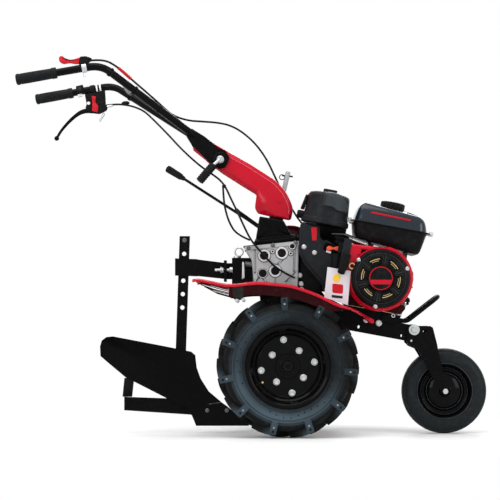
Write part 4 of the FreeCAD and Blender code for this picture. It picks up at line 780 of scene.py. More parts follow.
def makeRecoil():
    # a grid of radius and angle: depth = cover(r), less 9 mm in the windows
    shape = recoilShape
    knots = np.array(shape["cover"], float)
    length = np.concatenate([[0], np.cumsum(np.hypot(*np.diff(knots, axis=0).T))])
    fine = np.unique(np.concatenate([length, np.interp([45.5, 46, 49.5, 50, 56, 62, 68, 71.5, 72],
        knots[::-1, 0], length[::-1]), np.linspace(0, length[-1], 40)]))
    radius = np.interp(fine, length, knots[:, 0])
    depth = np.interp(fine, length, knots[:, 1])
    half = shape["windowHalf"]
    edge = np.array([-half - 0.8, -half + 0.8, half - 0.8, half + 0.8])
    turn = np.unique(np.concatenate([np.arange(0, 360, 3.0)] + [(w + edge) % 360 for w in shape["windows"]]))
    t = np.radians(turn)
    near = np.min([np.abs((turn - w + 180) % 360 - 180) for w in shape["windows"]], axis=0)
    opening = (near < half)[None] * ((radius > 47) & (radius < 71) & (fine > length[8]))[:, None]
    y = depth[:, None] - 9 * opening
    face = facePoint(shape["front"])
    points = face(radius[:, None] * np.cos(t)[None], y, radius[:, None] * np.sin(t)[None])
    makePiece("recoilCover", points, ringFaces(len(radius), len(t)), "blackPlastic",
        nodes=("recoil_starter",), sharp=30)
    # brass ring showing through the windows, two arcs each
    arcs = []
    for w in shape["windows"]:
        for inner, outer, trim in ((64.5, 68, 3), (58.6, 61, 7)):
            loop = sectorLoop(inner, outer, w - half + trim, w + half - trim)
            arcs.append(ribPoints(loop, 18.6, 24.4, face))
    makePiece("recoilBrass", *joined(arcs), "brass")
    # radial slots round the upper rim, near-black as painted shade in the openings, and six raised ribs
    # between the windows
    slots = [ribPoints(radialBar(88.5, 95, a, 1.6), 17.5, 22.4, face)
        for a in np.linspace(38, 142, shape["vents"])]
    makePiece("recoilSlots", *joined(slots), "darkPit")
    ribs = []
    for a in (16, 76, 138, 198, 259, 319):
        for outer, turn, half, high in ((81, a, 2.4, 30.6), (78, a + 7, 1.2, 29.4), (78, a - 7, 1.2, 29.4)):
            ribs.append(ribPoints(radialBar(52, outer, turn, half), 24, high, face))
    makePiece("recoilRibs", *joined(ribs), "greyPlastic")
    centre = (crank[0], -mm * shape["front"], crank[1])
    ring = [(83.8, 24.6), (84.4, 25.8), (86.4, 25.2), (87.4, 23), (86, 21.4), (83.8, 24.6)]
    turned("recoilRing", ring, centre, (0, -1, 0), "greyPlastic", count=80)
    # a plain badge: a red rim, a black face and one plain red band
    turned("badgeRim", [(36.8, 29.6), (37.2, 31.4), (39.4, 31.4), (40.2, 29.6), (36.8, 29.6)], centre,
        (0, -1, 0), "redPaint", count=72)
    turned("badgeFace", [(0, 29.6), (37.2, 29.6), (37.2, 30.6), (30, 30.8), (0, 30.8)], centre, (0, -1, 0),
        "blackPlastic", count=64)
    right = arc(36.6, -8, -34, 9)
    loop = np.vstack([right, (right * [-1, 1])[::-1]])
    softBlock("badgeBand", loop, 30.4, 31.1, 0.2, face, "redPaint")
    r, a = np.array(shape["bolts"], float).T
    places = face(r * np.cos(np.radians(a)), 15, r * np.sin(np.radians(a)))
    bolts("recoilBolts", places, (0, -1, 0), 12, "zinc", high=7)


def radialBar(inner, outer, angle, half):
    # a narrow rectangle along a radius
    a = math.radians(angle)
    along, across = np.array([math.cos(a), math.sin(a)]), np.array([-math.sin(a), math.cos(a)])
    return np.array([inner * along - half * across, outer * along - half * across,
        outer * along + half * across, inner * along + half * across])


def ribPoints(loop, low, high, place, top=0.5):
    # a loop raised from low to high with its top drawn in a little, closed on its middle
    middle = loop.mean(0)
    rows = [middle[None] + 0 * loop, loop, loop, drawnIn(loop, top), middle[None] + 0.5 * (loop - middle),
        middle[None] + 0 * loop]
    heights = np.array([low, low, high - top, high, high, high])
    a = np.stack([r[:, 0] for r in rows])
    b = np.stack([r[:, 1] for r in rows])
    # an arc's middle may lie outside it, so wide pieces are closed by folding the loop on itself
    if len(loop) > 6:
        fold = 0.5 * (loop + loop[::-1])
        for k in (0, 4, 5):
            a[k], b[k] = (fold if k != 4 else 0.5 * (fold + rows[3])).T
    y = np.broadcast_to(heights[:, None], a.shape)
    return place(a, y, b), ringFaces(*a.shape)


def framed(side=0.0):
    # the engine's tilted frame, with depth counted out to the right from `side`
    def place(u, depth, w):
        return tilted(u, -(side + depth), w)
    return place


shroudShape = {
    "loop": np.vstack([arc(113, -138, 84, 40), [(-18, 106), (-70, 103), (-124, 98), (-136, 70), (-136, 8),
        (-104, -46)]]),
    "back": 85.3, "front": 160,
}


def makeShroud():
    # a pressed cover: the duct and the ring as one loop, with a softly rounded front edge
    shape = shroudShape
    loop = roundedLoop(shape["loop"], 9, 3)
    softBlock("fanShroud", loop, shape["back"], shape["front"] - 0.5, 9, framed(), "redPaint",
        nodes=("engine_shroud",), steps=5)
    points = turnedPoints([(101, 158), (101, 162.4), (102.6, 164), (105, 163.4), (107.5, 159)],
        (crank[0], 0, crank[1]), (0, -1, 0), 96)
    addWall(makePiece("shroudLip", points, ringFaces(5, 96), "redPaint"), 0.0012)
    # the pressed louvre beside the starter, its dark mouth and the two levers in it; the mouth and the
    # levers' pit are near-black as painted shade
    lips = []
    for low, high, left, right in ((88, 93, -84, -34), (66, 70, -92, -46), (46, 49, -94, -64)):
        lips.append(ribPoints(np.array([(left, low), (right, low), (right, high), (left, high)]), 156, 164,
            framed(), 1.5))
    makePiece("shroudLouvre", *joined(lips), "redPaint")
    block("louvreMouth", [(-82, 71), (-40, 73), (-34, 86), (-80, 87)], 4, 156, 160.4, 0.4, framed(),
        "darkPit")
    block("chokePanel", [(-158, 60), (-120, 60), (-118, 98), (-162, 96)], 5, 120, 152, 3, framed(),
        "blackPlastic")
    block("chokePit", [(-210, 62), (-178, 56), (-152, 62), (-152, 88), (-206, 88)], 8, 112, 122.2, 1,
        framed(), "darkPit")
    lever = [(-199, 70), (-195, 78), (-186, 79), (-176, 76), (-158, 85), (-153, 76), (-155, 66), (-176, 70),
        (-186, 62), (-195, 62)]
    block("chokeLever", lever, 2.5, 122, 130, 2, framed(), "orangePlastic")
    block("fuelLever", [(-199, 55), (-180, 53), (-179, 61), (-197, 63)], 3, 121, 128, 2, framed(), "zinc")


tankShape = {
    "seam": 182, "half": 129, "wide": 113, "along": 6, "aside": 17, "corner": 40,
    # heights over and under the seam, the fall of the front half, and the crown's share at its middle
    "tall": 69, "fall": 30, "deep": 68, "crown": 1.003,
    # (drawn in, share of the height) from the seam up to the crown, and down to the bottom
    "upper": [(0, 0), (1.5, 0.05), (3, 0.18), (5.5, 0.40), (8.5, 0.60), (12, 0.76), (17, 0.88), (24, 0.957),
        (33, 0.994), (44, 1)],
    "lower": [(1, 0), (2, 0.08), (5, 0.30), (9, 0.58), (13, 0.82), (18, 0.94), (26, 0.99), (36, 1)],
}


def tankPlace(u, depth, w):
    return tilted(u + tankShape["along"], -depth - tankShape["aside"], w)


def makeTank():
    # two pressed halves on one seam flange: the plan outline drawn in by d(k) while it moves
    # f(k) of the height, which falls away towards the front
    wide, half = tankShape["wide"], tankShape["half"]
    plan = roundedLoop([(-half, -wide), (half, -wide), (half, wide), (-half, wide)], tankShape["corner"], 12)
    # the top half's blue-tinted black is painted reflection
    for name, key, finish, nodes in (("tankTop", "upper", "tankGloss", ("fuel_tank",)),
            ("tankBottom", "lower", "tankMatte", ())):
        upper = key == "upper"
        rings = [drawnIn(plan, d) for d, f in tankShape[key]]
        centre = plan.mean(0)
        cap = [centre + (rings[-1] - centre) * f for f in (0.7, 0.35, 0.0)]
        rings = np.stack([centre + 0 * plan] + rings + cap)
        shares = [0] + [f for d, f in tankShape[key]] + [tankShape["crown"] if upper else 1.0] * 3
        u, y = rings[..., 0], rings[..., 1]
        if upper:
            tall = tankShape["tall"] - tankShape["fall"] * rise(u, 0, half) ** 2
        else:
            tall = -(tankShape["deep"] + 0.10 * u)
        level = tankShape["seam"] + tall * np.array(shares)[:, None]
        makePiece(name, tilted(u + tankShape["along"], y - tankShape["aside"], level), ringFaces(*u.shape),
            finish, nodes=nodes, sharp=24)
    corner = roundedLoop([(-137, -wide - 6), (137, -wide - 6), (137, wide + 6), (-137, wide + 6)], 34, 10)
    def rimPlace(a, level, b):
        return tilted(a + tankShape["along"], b - tankShape["aside"], level)
    softBlock("tankSeam", corner, 179.4, 184.6, 1.6, rimPlace, "satinBlack")
    # a plain red stripe that follows the top half's right face
    block("tankStripe", [(-78, 216), (60, 213), (66, 219), (-72, 222)], 2, wide - 16, wide - 5.2, 0.5,
        tankPlace, "redPaint")
    for name, u in (("tankLugRear", -143), ("tankLugFront", 143)):
        block(name, [(u - 8, 174), (u + 8, 174), (u + 8, 192), (u - 8, 192)], 7, 70, 74, 1, tankPlace, "zinc")
        bolts(name + "Bolt", [tankPlace(u, 74, 183)], (0, -1, 0), 8, "zinc", high=4)
    # cap: flutes round the side, radius*(1 - 0.035*(0.5 + 0.5 cos 24t))
    t = np.linspace(0, 2 * np.pi, 192, endpoint=False)
    profile = np.array([(0, 273), (26, 273.4), (37, 273), (41, 271), (42.6, 268), (42.6, 251.6),
        (41.4, 247.6), (37, 247.6), (37, 238), (0, 238)], float)
    flute = 1 - 0.035 * (0.5 + 0.5 * np.cos(24 * t))
    deep = np.array([0, 0, 0, 0.4, 1, 1, 0.4, 0, 0, 0])
    r = profile[:, :1] * (1 - deep[:, None] * (1 - flute)[None])
    points = tilted(r * np.cos(t)[None] + tankShape["along"], r * np.sin(t)[None] - tankShape["aside"],
        profile[:, 1:])
    makePiece("fuelCap", points, ringFaces(*r.shape), "blackPlastic", nodes=("fuel_cap",), sharp=25)


cleanerShape = {
    "back": 219, "side": -72,
    # the raised scoop's two outlines: distance round the can, and height
    "scoop": [(10, 211), (30, 200), (74, 202), (80, 212), (54, 244), (28, 263), (4, 263)],
    "scoopRear": [(-26, 209), (14, 211), (30, 263), (-12, 263), (-26, 236)],
    "profile": [(0, 149), (77, 149), (81.6, 150.4), (83, 153), (83, 163), (82.2, 166.4), (79.8, 168.4),
        (78.8, 171), (78, 178), (76, 198), (74, 221), (72.4, 241), (71, 249), (68, 254.6), (61, 258.4),
        (51, 260.4), (26, 261.8), (0, 262)],
}


def insideSoft(x, y, polygon, edge):
    # 1 inside a convex outline, falling smoothly to 0 over `edge` outside it
    polygon = np.asarray(polygon, float)
    run = np.roll(polygon, -1, 0) - polygon
    outward = np.stack([run[:, 1], -run[:, 0]], -1) / np.linalg.norm(run, axis=1, keepdims=True)
    away = np.max([(x - p[0]) * n[0] + (y - p[1]) * n[1] for p, n in zip(polygon, outward)], axis=0)
    return 1 - smoothStep(away, -edge / 2, edge / 2)


def makeAirCleaner():
    # a turned canister; a raised scoop winds round it, its radius r + 8*mask
    shape = cleanerShape
    knots = np.array(shape["profile"], float)
    length = np.concatenate([[0], np.cumsum(np.hypot(*np.diff(knots, axis=0).T))])
    fine = np.unique(np.concatenate([length, np.linspace(length[3], length[-1], 70)]))
    radius, height = np.interp(fine, length, knots[:, 0]), np.interp(fine, length, knots[:, 1])
    t = np.linspace(0, 2 * np.pi, 180, endpoint=False)
    around = (t[None] + 1.5 * np.pi) % (2 * np.pi) - np.pi
    # the scoop's outline as distance round the can and height up it
    across = 72 * around
    up = np.broadcast_to(height[:, None], (len(fine), len(t)))
    rear = insideSoft(across, up, shape["scoopRear"], 3) * smoothStep(across, -30, 4)
    mask = np.maximum(insideSoft(across, up, shape["scoop"], 3), rear)
    r = radius[:, None] + 8 * mask * smoothStep(radius, 30, 60)[:, None]
    points = tilted(r * np.cos(t)[None] - shape["back"], r * np.sin(t)[None] + shape["side"], up + 1.5 * mask)
    # the scoop's mask also picks the pale colour: a painted highlight on its raised face
    makePiece("airCleaner", points, ringFaces(*r.shape), "scoopPlastic", nodes=("air_cleaner",), sharp=28,
        shade=mask)
    # the lid's knob, and a clip at the rear with its own knob and mark
    def knobPlace(a, level, b):
        return tilted(a - shape["back"], b + shape["side"], level)
    block("lidKnob", [(-24, -14), (24, -14), (24, 14), (-24, 14)], 8, 257, 274, 3, knobPlace, "charcoal")
    def sidePlace(u, depth, w):
        return tilted(u - shape["back"], -depth + shape["side"], w)
    block("lidClip", [(-92, 190), (-78, 188), (-71, 240), (-81, 244)], 5, -12, 12, 4, sidePlace,
        "blackPlastic")
    turned("clipKnob", [(0, 0), (12, 0), (14, 3), (14, 20), (11, 24), (0, 24)], sidePlace(-76, 0, 172),
        (-math.cos(frameTilt), 0, math.sin(frameTilt)), "blackPlastic", count=28)
    block("lidMark", [(-74, 240), (-60, 240), (-60, 247), (-74, 247)], 2, -8, 8, 1, sidePlace, "redPlastic")


ductShape = {
    "outer": [(-301, 144.7), (-298, 90), (-286, 36), (-259, -4), (-166, -76), (-144, -76), (-150, 84),
        (-204, 92), (-225, 100), (-234, 144.7)],
}


def makeDuct():
    # the elbow below the cleaner and the panel that carries it down to the engine
    loop = roundedLoop(ductShape["outer"], 12, 4)
    softBlock("airDuct", loop, 60.4, 116.2, 7, framed(), "charcoal", nodes=("air_duct",), steps=5)
    raised = roundedLoop([(-294, 140), (-282, 44), (-258, 8), (-180, -54), (-163, -40), (-172, 50),
        (-222, 84), (-240, 140)], 16, 4)
    softBlock("ductPanel", raised, 112, 121, 4, framed(), "charcoal")
    places = spots(tilted, [(-275, -121, 60), (-236, -121, 47)])
    bolts("ductBolts", places, (0, -1, 0), 12, "zinc", high=7)
    block("tankBracket", [(-172, 92), (-120, 92), (-112, 128), (-170, 128)], 6, 20, 96, 3, framed(),
        "blackPlastic", nodes=("carburettor",))


def springPoints(start, end, radius, turns, wire):
    # a helix about the straight line from start to end
    start, end = np.asarray(start, float), np.asarray(end, float)
    _, first, second = axes(end - start)
    s = np.linspace(0, 1, turns * 14 + 1)
    a = 2 * np.pi * turns * s
    path = start + s[:, None] * (end - start) + mm * radius * (np.cos(a)[:, None] * first
        + np.sin(a)[:, None] * second)
    return barPoints(path, wire, 6)


def makeLinkage():
    # governor arm, its rod and spring in front of the carburettor
    start, end = spots(tilted, [(-128, -124, 118), (-62, -124, 108)])
    makePiece("governorSpring", *springPoints(start, end, 5.5, 12, 1.1), "zinc")
    bar("governorRod", spots(tilted, [(-190, -118, 122), (-150, -118, 128), (-84, -118, 118),
        (-62, -118, 114)]), 1.6, "greySteel", corners=8)
    block("governorArm", [(-150, 124), (-92, 114), (-40, 104), (-40, 112), (-92, 124), (-148, 134)], 3, 108,
        112, 1, framed(), "satinBlack")
    block("controlPlate", [(-176, 110), (-50, 96), (-46, 104), (-120, 116), (-176, 122)], 5, 90, 104, 2,
        framed(), "blackPlastic")


def makeStarterHandle():
    # a rounded grip on the strap, its rope ring and the hook plate
    centre = tilted(-131, 0, 27)
    a = math.radians(20)
    def place(x, depth, z):
        return np.stack(np.broadcast_arrays(centre[0] + mm * (x * math.cos(a) + z * math.sin(a)),
            -mm * (166.1 + depth), centre[2] + mm * (z * math.cos(a) - x * math.sin(a))), -1)
    block("starterGrip", [(-13, -38), (13, -38), (14, 0), (13, 38), (-13, 38), (-14, 0)], 9, 0, 20, 7, place,
        "blackPlastic", nodes=("starter_handle",), steps=5)
    loop = roundedLoop([(-147, -70), (-121, -70), (-117, 112), (-145, 114)], 5)
    softBlock("starterPlate", loop, 160.4, 164.4, 1.4, framed(), "charcoal", nodes=("starter_strap",))
    ring = tilted(-103, -168, 24)
    turned("ropeEye", [(6, 0), (8.4, -3), (11, -2), (12, 2), (10.5, 5), (7.4, 4.6), (6, 0)], ring, (0, -1, 0),
        "brass", count=32)
    bar("starterRope", [tilted(-112, -170, 24), tilted(-104, -171, 24.5), ring + [0, 0.004, 0]], 2.2,
        "blackPlastic")


makeRecoil()
makeShroud()
makeTank()
makeAirCleaner()
makeDuct()
makeLinkage()
makeStarterHandle()
print("engine")


def sideways(middle=0.0):
    # outlines seen from the right: a ahead of the axle, b up, depth out to the right of `middle`
    def place(a, depth, b):
        return upright(a, middle - depth, b)
    return place


gearbox = {
    "case": [(-143, 637), (-143, 651), (44, 671), (44, 655), (38, 500), (-112, 500), (-121, 601)], "half": 84,
    # (ahead, up, outer radius, plug radius)
    "bosses": [(-78, 617, 21, 14.5), (-17, 626, 21, 14.5), (-40, 564, 21, 14.5), (-83, 556, 16, 14),
        (19, 650, 12, 8.6), (-49, 631, 6.5, 3.4), (14, 624.5, 7, 3.6)],
    "ribs": [[(-60, 600), (-55, 596), (-40, 588), (-42, 584)],
        [(-20, 604), (-15, 604), (-26, 586), (-30, 588)], [(24, 636), (28, 636), (27, 566), (23, 566)],
        [(22, 560), (26, 562), (8, 528), (2, 528)], [(-104, 548), (-98, 544), (-116, 512), (-122, 514)],
        [(-82, 540), (-78, 540), (-66, 520), (-72, 520)], [(-41, 542), (-38, 542), (-38, 526), (-41, 526)],
        [(-112, 634), (-108, 634), (-108, 560), (-112, 560)]],
}


def makeGearbox():
    # the casing with soft edges, a flange along its top, raised rings with dark plugs, and ribs, each ring
    # and rib with a darker grey rim at its foot as painted shadow
    half = gearbox["half"]
    softBlock("gearCasing", roundedLoop(gearbox["case"], 9, 3), -half, half, 5, sideways(), "castAluminium",
        nodes=("gearbox_case",))
    flange = roundedLoop([(-146, 634), (-146, 650), (47, 670.4), (47, 654)], 4)
    softBlock("casingFlange", flange, -half - 4, half + 4, 2, sideways(), "castAluminium")
    block("casingGasket", [(-150, 650.6), (50, 671.6), (50, 669), (-150, 648)], 0.6, -half - 4.6, half + 4.6,
        0.6, sideways(), "darkPit")
    for label, side in sides.items():
        for number, (x, z, outer, inner) in enumerate(gearbox["bosses"]):
            centre = upright(x, side * half, z)
            # painted shadow: a darker grey rim round the foot of each boss
            turned(f"bossShadow{label}{number}", [(0, -1), (outer + 2.6, -1), (outer + 2.6, 0.3),
                (outer + 1.8, 0.6), (0, 0.6)], centre, (0, side, 0), "engineGrey", count=36)
            turned(f"boss{label}{number}", [(inner, -3), (outer + 1.2, -3), (outer + 0.4, 1), (outer, 5),
                (outer - 1, 6.3), (inner + 1.6, 6.3), (inner + 0.4, 5.4), (inner, 3), (inner, -3)], centre,
                (0, side, 0), "machined", count=40)
            turned(f"plug{label}{number}", [(0, -1), (inner + 0.2, -1), (inner, 3.2), (inner - 1.6, 4.4),
                (0, 5.0)], centre, (0, side, 0), "blackPlastic", count=32)
    outlines = [np.array(r, float) for r in gearbox["ribs"]]
    # painted shadow: a larger darker grey outline under each rib
    ribShadowParts = [ribPoints(r.mean(0) + (r - r.mean(0)) * [1.9, 1.12], half - 2, half + 0.5, sideways(), 0.2)
        for r in outlines]
    makePiece("ribShadow", *joined(ribShadowParts), "engineGrey")
    ribs = [ribPoints(r, half - 2, half + 3.4, sideways(), 1) for r in outlines]
    makePiece("casingRibs", *joined(ribs), "castAluminium")
    for name, side in (("casingBolts", -1), ("casingBoltsLeft", 1)):
        places = spots(upright, [(-48, 88 * side, 653), (-132, 88 * side, 643), (30, 88 * side, 661.5)])
        bolts(name, places, (0, side, 0), 11, "greySteel", high=7)
    # the stub shaft of the reverse fork, with its end link
    bar("forkShaft", spots(upright, [(-144, -60, 589), (-130, -60, 588), (-104, -60, 585)]), 9, "greySteel")
    block("shaftLink", [(-154, 596), (-148, 596), (-146, 540), (-155, 536)], 3, 50, 72, 1, sideways(), "zinc")
    places = spots(upright, [(46, -58, 550), (50, -62, 520), (52, -64, 500)])
    bolts("frontBolts", places, (0, -1, 0), 13, "zinc", high=8)
    softBlock("clutchHousing", roundedLoop([(44, 660), (100, 640), (128, 560), (120, 486), (44, 486)], 20, 4),
        -62, 56, 6, sideways(), "blackPlastic")


def makeShiftCover():
    # a stepped flange and a tapering turret, both with soft edges
    block("coverFlange", [(-116, 654), (44, 671.6), (44, 684), (-114, 667)], 3, -77, 77, 3, sideways(),
        "satinBlack", nodes=("shift_cover",))
    block("coverStep", [(-112, 664), (36, 680), (33, 692), (-109, 676)], 3, -62, 62, 3, sideways(),
        "satinBlack")
    block("coverTurret", [(-108, 672), (20, 686), (-10.5, 741.5), (-94, 755.5)], 5, -47, 47, 6, sideways(),
        "satinBlack", steps=5)
    points = spots(upright, [(-100, -70, 669), (30, -70, 683), (-100, 70, 669), (30, 70, 683)])
    bolts("coverBolts", points, (-0.1, 0, 0.995), 12, "darkSteel", high=7)


handlePivot = (-230.5, 953.0)

armShape = {
    # the top and bottom edges as matching corners, (ahead, up)
    "top": [(-283.5, 1031), (-200.5, 981), (-122.5, 937), (-70, 903), (-37, 882), (-1.5, 843), (16, 807),
        (24, 782), (17.3, 748.3)],
    "bottom": [(-327.5, 992), (-228.5, 912), (-150, 862), (-104, 834), (-107, 812), (-110, 788),
        (-100, 768.5), (-59.7, 759), (9, 745)],
    "half": 33, "round": 13,
}


def makeColumnArm():
    # an inverted trough: the section runs up the right side, round two corners and down the left side
    top = roundedPath(armShape["top"], 15, 6)
    bottom = roundedPath(armShape["bottom"], 7, 6)
    half, r = armShape["half"], armShape["round"]
    down = bottom - top
    depth = np.linalg.norm(down, axis=1, keepdims=True)
    down /= depth
    a = np.radians(np.linspace(0, 90, 7))
    drop = np.concatenate([[1e9, 60, 30], r * (1 - np.sin(a)), r * (1 - np.sin(a[::-1])), [30, 60, 1e9]])
    aside = np.concatenate([[half] * 3, half - r * (1 - np.cos(a)), -(half - r * (1 - np.cos(a[::-1]))),
        [-half] * 3])
    drop = np.minimum(drop[None], depth * np.array([1.0, 0.66, 0.4] + [1] * 14 + [0.4, 0.66, 1.0])[None])
    x = top[:, :1] + down[:, :1] * drop
    z = top[:, 1:] + down[:, 1:] * drop
    points = upright(x, -np.broadcast_to(aside, x.shape), z)
    item = makePiece("columnArm", points, gridFaces(*x.shape), "redPaint", "column", ("column_arm",), 60)
    addWall(item, 0.003, -1)
    # painted highlight: a pale red bar along each pressed edge
    edge = top + down * (r + 1)
    for label, side in sides.items():
        bar("armHighlight" + label, upright(edge[2:-1, 0], side * (half + 0.1), edge[2:-1, 1]), 1.1, "redHighlight",
            "column", corners=8)
    turned("armSleeve", [(6.4, -39), (19, -39), (20, -38), (20, 38), (19, 39), (6.4, 39), (6.4, -39)],
        upright(handlePivot[0], 0, handlePivot[1]), (0, 1, 0), "redPaint", "column", count=40)
    # the weld seam that shows as a short line on the side
    bar("armSeam", spots(upright, [(-38, -33.4, 812), (-30, -33.4, 808), (-20, -33.4, 802)]), 1.4, "redPaint",
        "column", corners=8)
    aside = 41.8
    bar("lockTube", spots(upright, [(-18, aside, 806), (-5, aside, 862), (8, aside, 918)]), 8.5, "dullZinc",
        "column", ("lock_lever",), corners=20)
    bar("lockPin", spots(upright, [(-14, aside, 904), (4.2, aside, 902), (24, aside, 900)]), 3, "darkSteel",
        "column", corners=10)
    t = np.linspace(0, 2 * np.pi, 25)
    bar("lockRing", upright(-14 + 9 * np.cos(t), aside + 0 * t, 898 + 9 * np.sin(t)), 1.6, "darkSteel",
        "column", corners=8)


def ribbedSleeve(name, start, end, profile, ribs, depth, finish, body, nodes=(), count=72):
    # profile rows are radius, place along the line and share of the flutes; a full flute makes the
    # radius r*(1 - depth*(0.5 + 0.5 cos n t))
    start, end = np.asarray(start, float), np.asarray(end, float)
    direction, first, second = axes(end - start)
    profile = np.asarray(profile, float)
    t = np.linspace(0, 2 * np.pi, count, endpoint=False)
    flute = 1 - depth * (0.5 + 0.5 * np.cos(ribs * t))
    r = profile[:, :1] * (1 + profile[:, 2:3] * (flute - 1)[None])
    points = (start + mm * profile[:, 1, None, None] * direction
        + mm * r[..., None] * (np.cos(t)[:, None] * first + np.sin(t)[:, None] * second)[None])
    return makePiece(name, points, ringFaces(len(profile), count), finish, body, nodes, 40)


tubeRadius = 13


# a tube's front end, bend and rear end: ahead of the pivot, aside and above it
tubeRoute = [(-85.5, 27, 81), (-397.5, 283, 299), (-678.5, 290, 249)]


def handleLine(side):
    x, z = handlePivot
    return np.array([(x + a, y * side, z + c) for a, y, c in tubeRoute])


def onHandle(side, x):
    # a point of the rear run at a place along the machine, millimetres
    _, bend, end = handleLine(side)
    return bend + (x - bend[0]) / (end[0] - bend[0]) * (end - bend)


gripProfile = [(0, -4, 0), (12, -4, 0), (17, -2.4, 0), (19, 1, 0), (19.4, 5, 0), (18.6, 9, 0), (17.2, 11, 0),
    (18.4, 13, 1), (18.6, 40, 1), (18.2, 80, 1), (17.6, 114, 1), (17.0, 116, 0), (18.8, 118, 0), (19, 122, 0),
    (18.9, 132, 0), (18, 135, 0), (13.2, 135, 0)]


def makeGrips():
    profile = np.array(gripProfile)
    for label, side in sides.items():
        _, bend, end = handleLine(side)
        ribbedSleeve("grip" + label, upright(*end), upright(*bend), profile, 24, 0.05, "gripRubber",
            "handlebar", ("handle_grips",) if side < 0 else (), count=120)


def outlineAt(points, middle, low, high, edge, name, finish, nodes=(), reach=5):
    # a soft block from a side outline, low to high measured out to the right of `middle`
    return softBlock(name, roundedLoop(points, reach, 4), low, high, edge, sideways(middle), finish,
        "handlebar", nodes)


def tieRing(inner, wall):
    # the section of a narrow band
    outer = inner + wall
    return [(inner, -3), (outer - 0.4, -3), (outer, -2), (outer, 2), (outer - 0.4, 3), (inner, 3),
        (inner, -3)]


def ringOn(side, back, front, radius, name, finish):
    # a short sleeve round a handle tube
    inner = tubeRadius + 0.1
    start, end = onHandle(side, back), onHandle(side, front)
    length = float(np.linalg.norm(end - start))
    profile = [(inner, 0), (radius - 1, 0), (radius, 1), (radius, length - 1), (radius - 1, length),
        (inner, length), (inner, 0)]
    turned(name, profile, upright(*start), end - start, finish, "handlebar", count=36)


def makeControls():
    right, left = onHandle(-1, -683)[1], onHandle(1, -694)[1]
    # throttle: a housing on a bright clamp, with a curved red lever
    outlineAt([(-699, 1279), (-678.5, 1281), (-665, 1276.5), (-657, 1273), (-659.5, 1265), (-668, 1262),
        (-670, 1251), (-674, 1246), (-698, 1248), (-702, 1253)], right, -13, 13, 4, "throttleHousing",
        "blackPlastic", ("throttle_mount",), 5)
    outlineAt([(-766.7, 1281), (-757, 1282.6), (-749.8, 1275), (-741, 1270), (-719, 1269.5), (-705, 1276),
        (-690, 1277), (-686, 1268), (-690, 1257), (-712, 1254.3), (-733, 1258.3), (-753, 1254.4),
        (-765, 1260), (-770, 1271)], right, -8.5, 8.5, 4, "throttleLever", "redPlastic", ("throttle_lever",),
        7)
    ringOn(-1, -692, -676, 17, "throttleClamp", "zinc")
    x, y, z = onHandle(-1, -684)
    bar("throttleScrew", spots(upright, [(x, y, z - 14), (x, y, z - 22), (x + 1, y, z - 30)]), 4, "zinc",
        "handlebar")
    # clutch: perch, lever with a ball end, red latch, white mark and adjuster
    outlineAt([(-733, 1220), (-658, 1237), (-655, 1182), (-648, 1172), (-652, 1160), (-678, 1147),
        (-700, 1149.5), (-722, 1157), (-731, 1170), (-725, 1182)], left, -9, 9, 4, "clutchPerch",
        "blackPlastic", ("clutch_perch",), 6)
    ringOn(1, -712, -696, 15.5, "perchClamp", "blackPlastic")
    outlineAt([(-708, 1213), (-690, 1211), (-693, 1191), (-682, 1176), (-684, 1153), (-705, 1157),
        (-704, 1194)], left, 7, 14, 3, "clutchLatch", "redPlastic", (), 4)
    dots("perchMark", [upright(-718, left - 9, 1186)], (0, -1, 0), 6, "whiteMark", "handlebar", 24)
    for number, x in enumerate((-688, -675.5)):
        ringOn(1, x - 3, x + 3, 14.2, f"whiteBand{number}", "whiteMark")
    path = roundedPath([(-700, 1158), (-726, 1160), (-750, 1153), (-775, 1134), (-797, 1112), (-819, 1086),
        (-833, 1062)], 14, 5)
    thick = np.interp(np.linspace(0, 1, len(path)), [0, 0.2, 0.45, 0.9, 1], [9, 8.6, 6.6, 5.0, 5.0])
    bar("clutchLever", upright(path[:, 0], left, path[:, 1]), thick, "satinBlack", "handlebar",
        ("clutch_lever",), corners=16)
    turned("leverBall", [(0, -9), (4.5, -7.8), (7.8, -4.5), (9, 0), (7.8, 4.5), (4.5, 7.8), (0, 9)],
        upright(-835, left, 1058), (0, 1, 0), "satinBlack", "handlebar", count=24)
    rods = {
        "clutchAdjuster": ([(-660, left, 1150), (-668, left, 1138), (-679, left, 1120)], 4.6, "zinc"),
        "clutchBarrel": ([(-652, left - 2, 1174), (-640, left - 2, 1177), (-628, left - 2, 1179)], 5, "zinc"),
        "cableBoot": ([(-596, 270, 1184), (-588, 267, 1185), (-576, 262, 1185.5), (-568, 259, 1185)],
            [4.6, 7.4, 7.4, 4.6], "cableSheath"),
    }
    for name, (rows, thick, finish) in rods.items():
        bar(name, spots(upright, rows), thick, finish, "handlebar")
    # stop switch beside the left grip
    y = onHandle(1, -750)[1]
    outlineAt([(-765, 1248), (-739, 1254.5), (-733.6, 1228), (-761, 1222)], y, -17, 17, 3, "stopSwitch",
        "blackPlastic", ("stop_switch",), 4)
    turned("stopButton", [(0, 0), (7, 0), (7.6, 1), (7.6, 4), (6, 5.5), (0, 6)], upright(-750, y - 17, 1238),
        (0, -1, 0), "greyPlastic", "handlebar", count=28)
    outlineAt([(-760, 1221), (-742, 1225), (-740, 1212), (-757, 1208)], y, -8, 8, 2, "switchClamp", "zinc",
        (), 3)
    # cross brace between the two tubes, and the ties that hold the cables
    root, bend, _ = handleLine(-1)
    end = bend + 0.2 * (root - bend)
    loop = roundedLoop([(end[0] - 9, end[2] + 6), (end[0] + 9, end[2] - 6), (end[0] + 11, end[2] - 3),
        (end[0] - 7, end[2] + 9)], 1)
    softBlock("crossBrace", loop, end[1], -end[1], 0.6, sideways(), "greySteel", "handlebar")
    for number, (x, side) in enumerate(((-598, -1), (-520, -1), (-560, 1), (-440, -1))):
        root, bend, _ = handleLine(side)
        direction = root - bend
        middle = bend + (x - bend[0]) / direction[0] * direction
        turned(f"cableTie{number}", tieRing(13.2, 2.6), upright(*middle), direction, "blackPlastic",
            "handlebar", count=28)


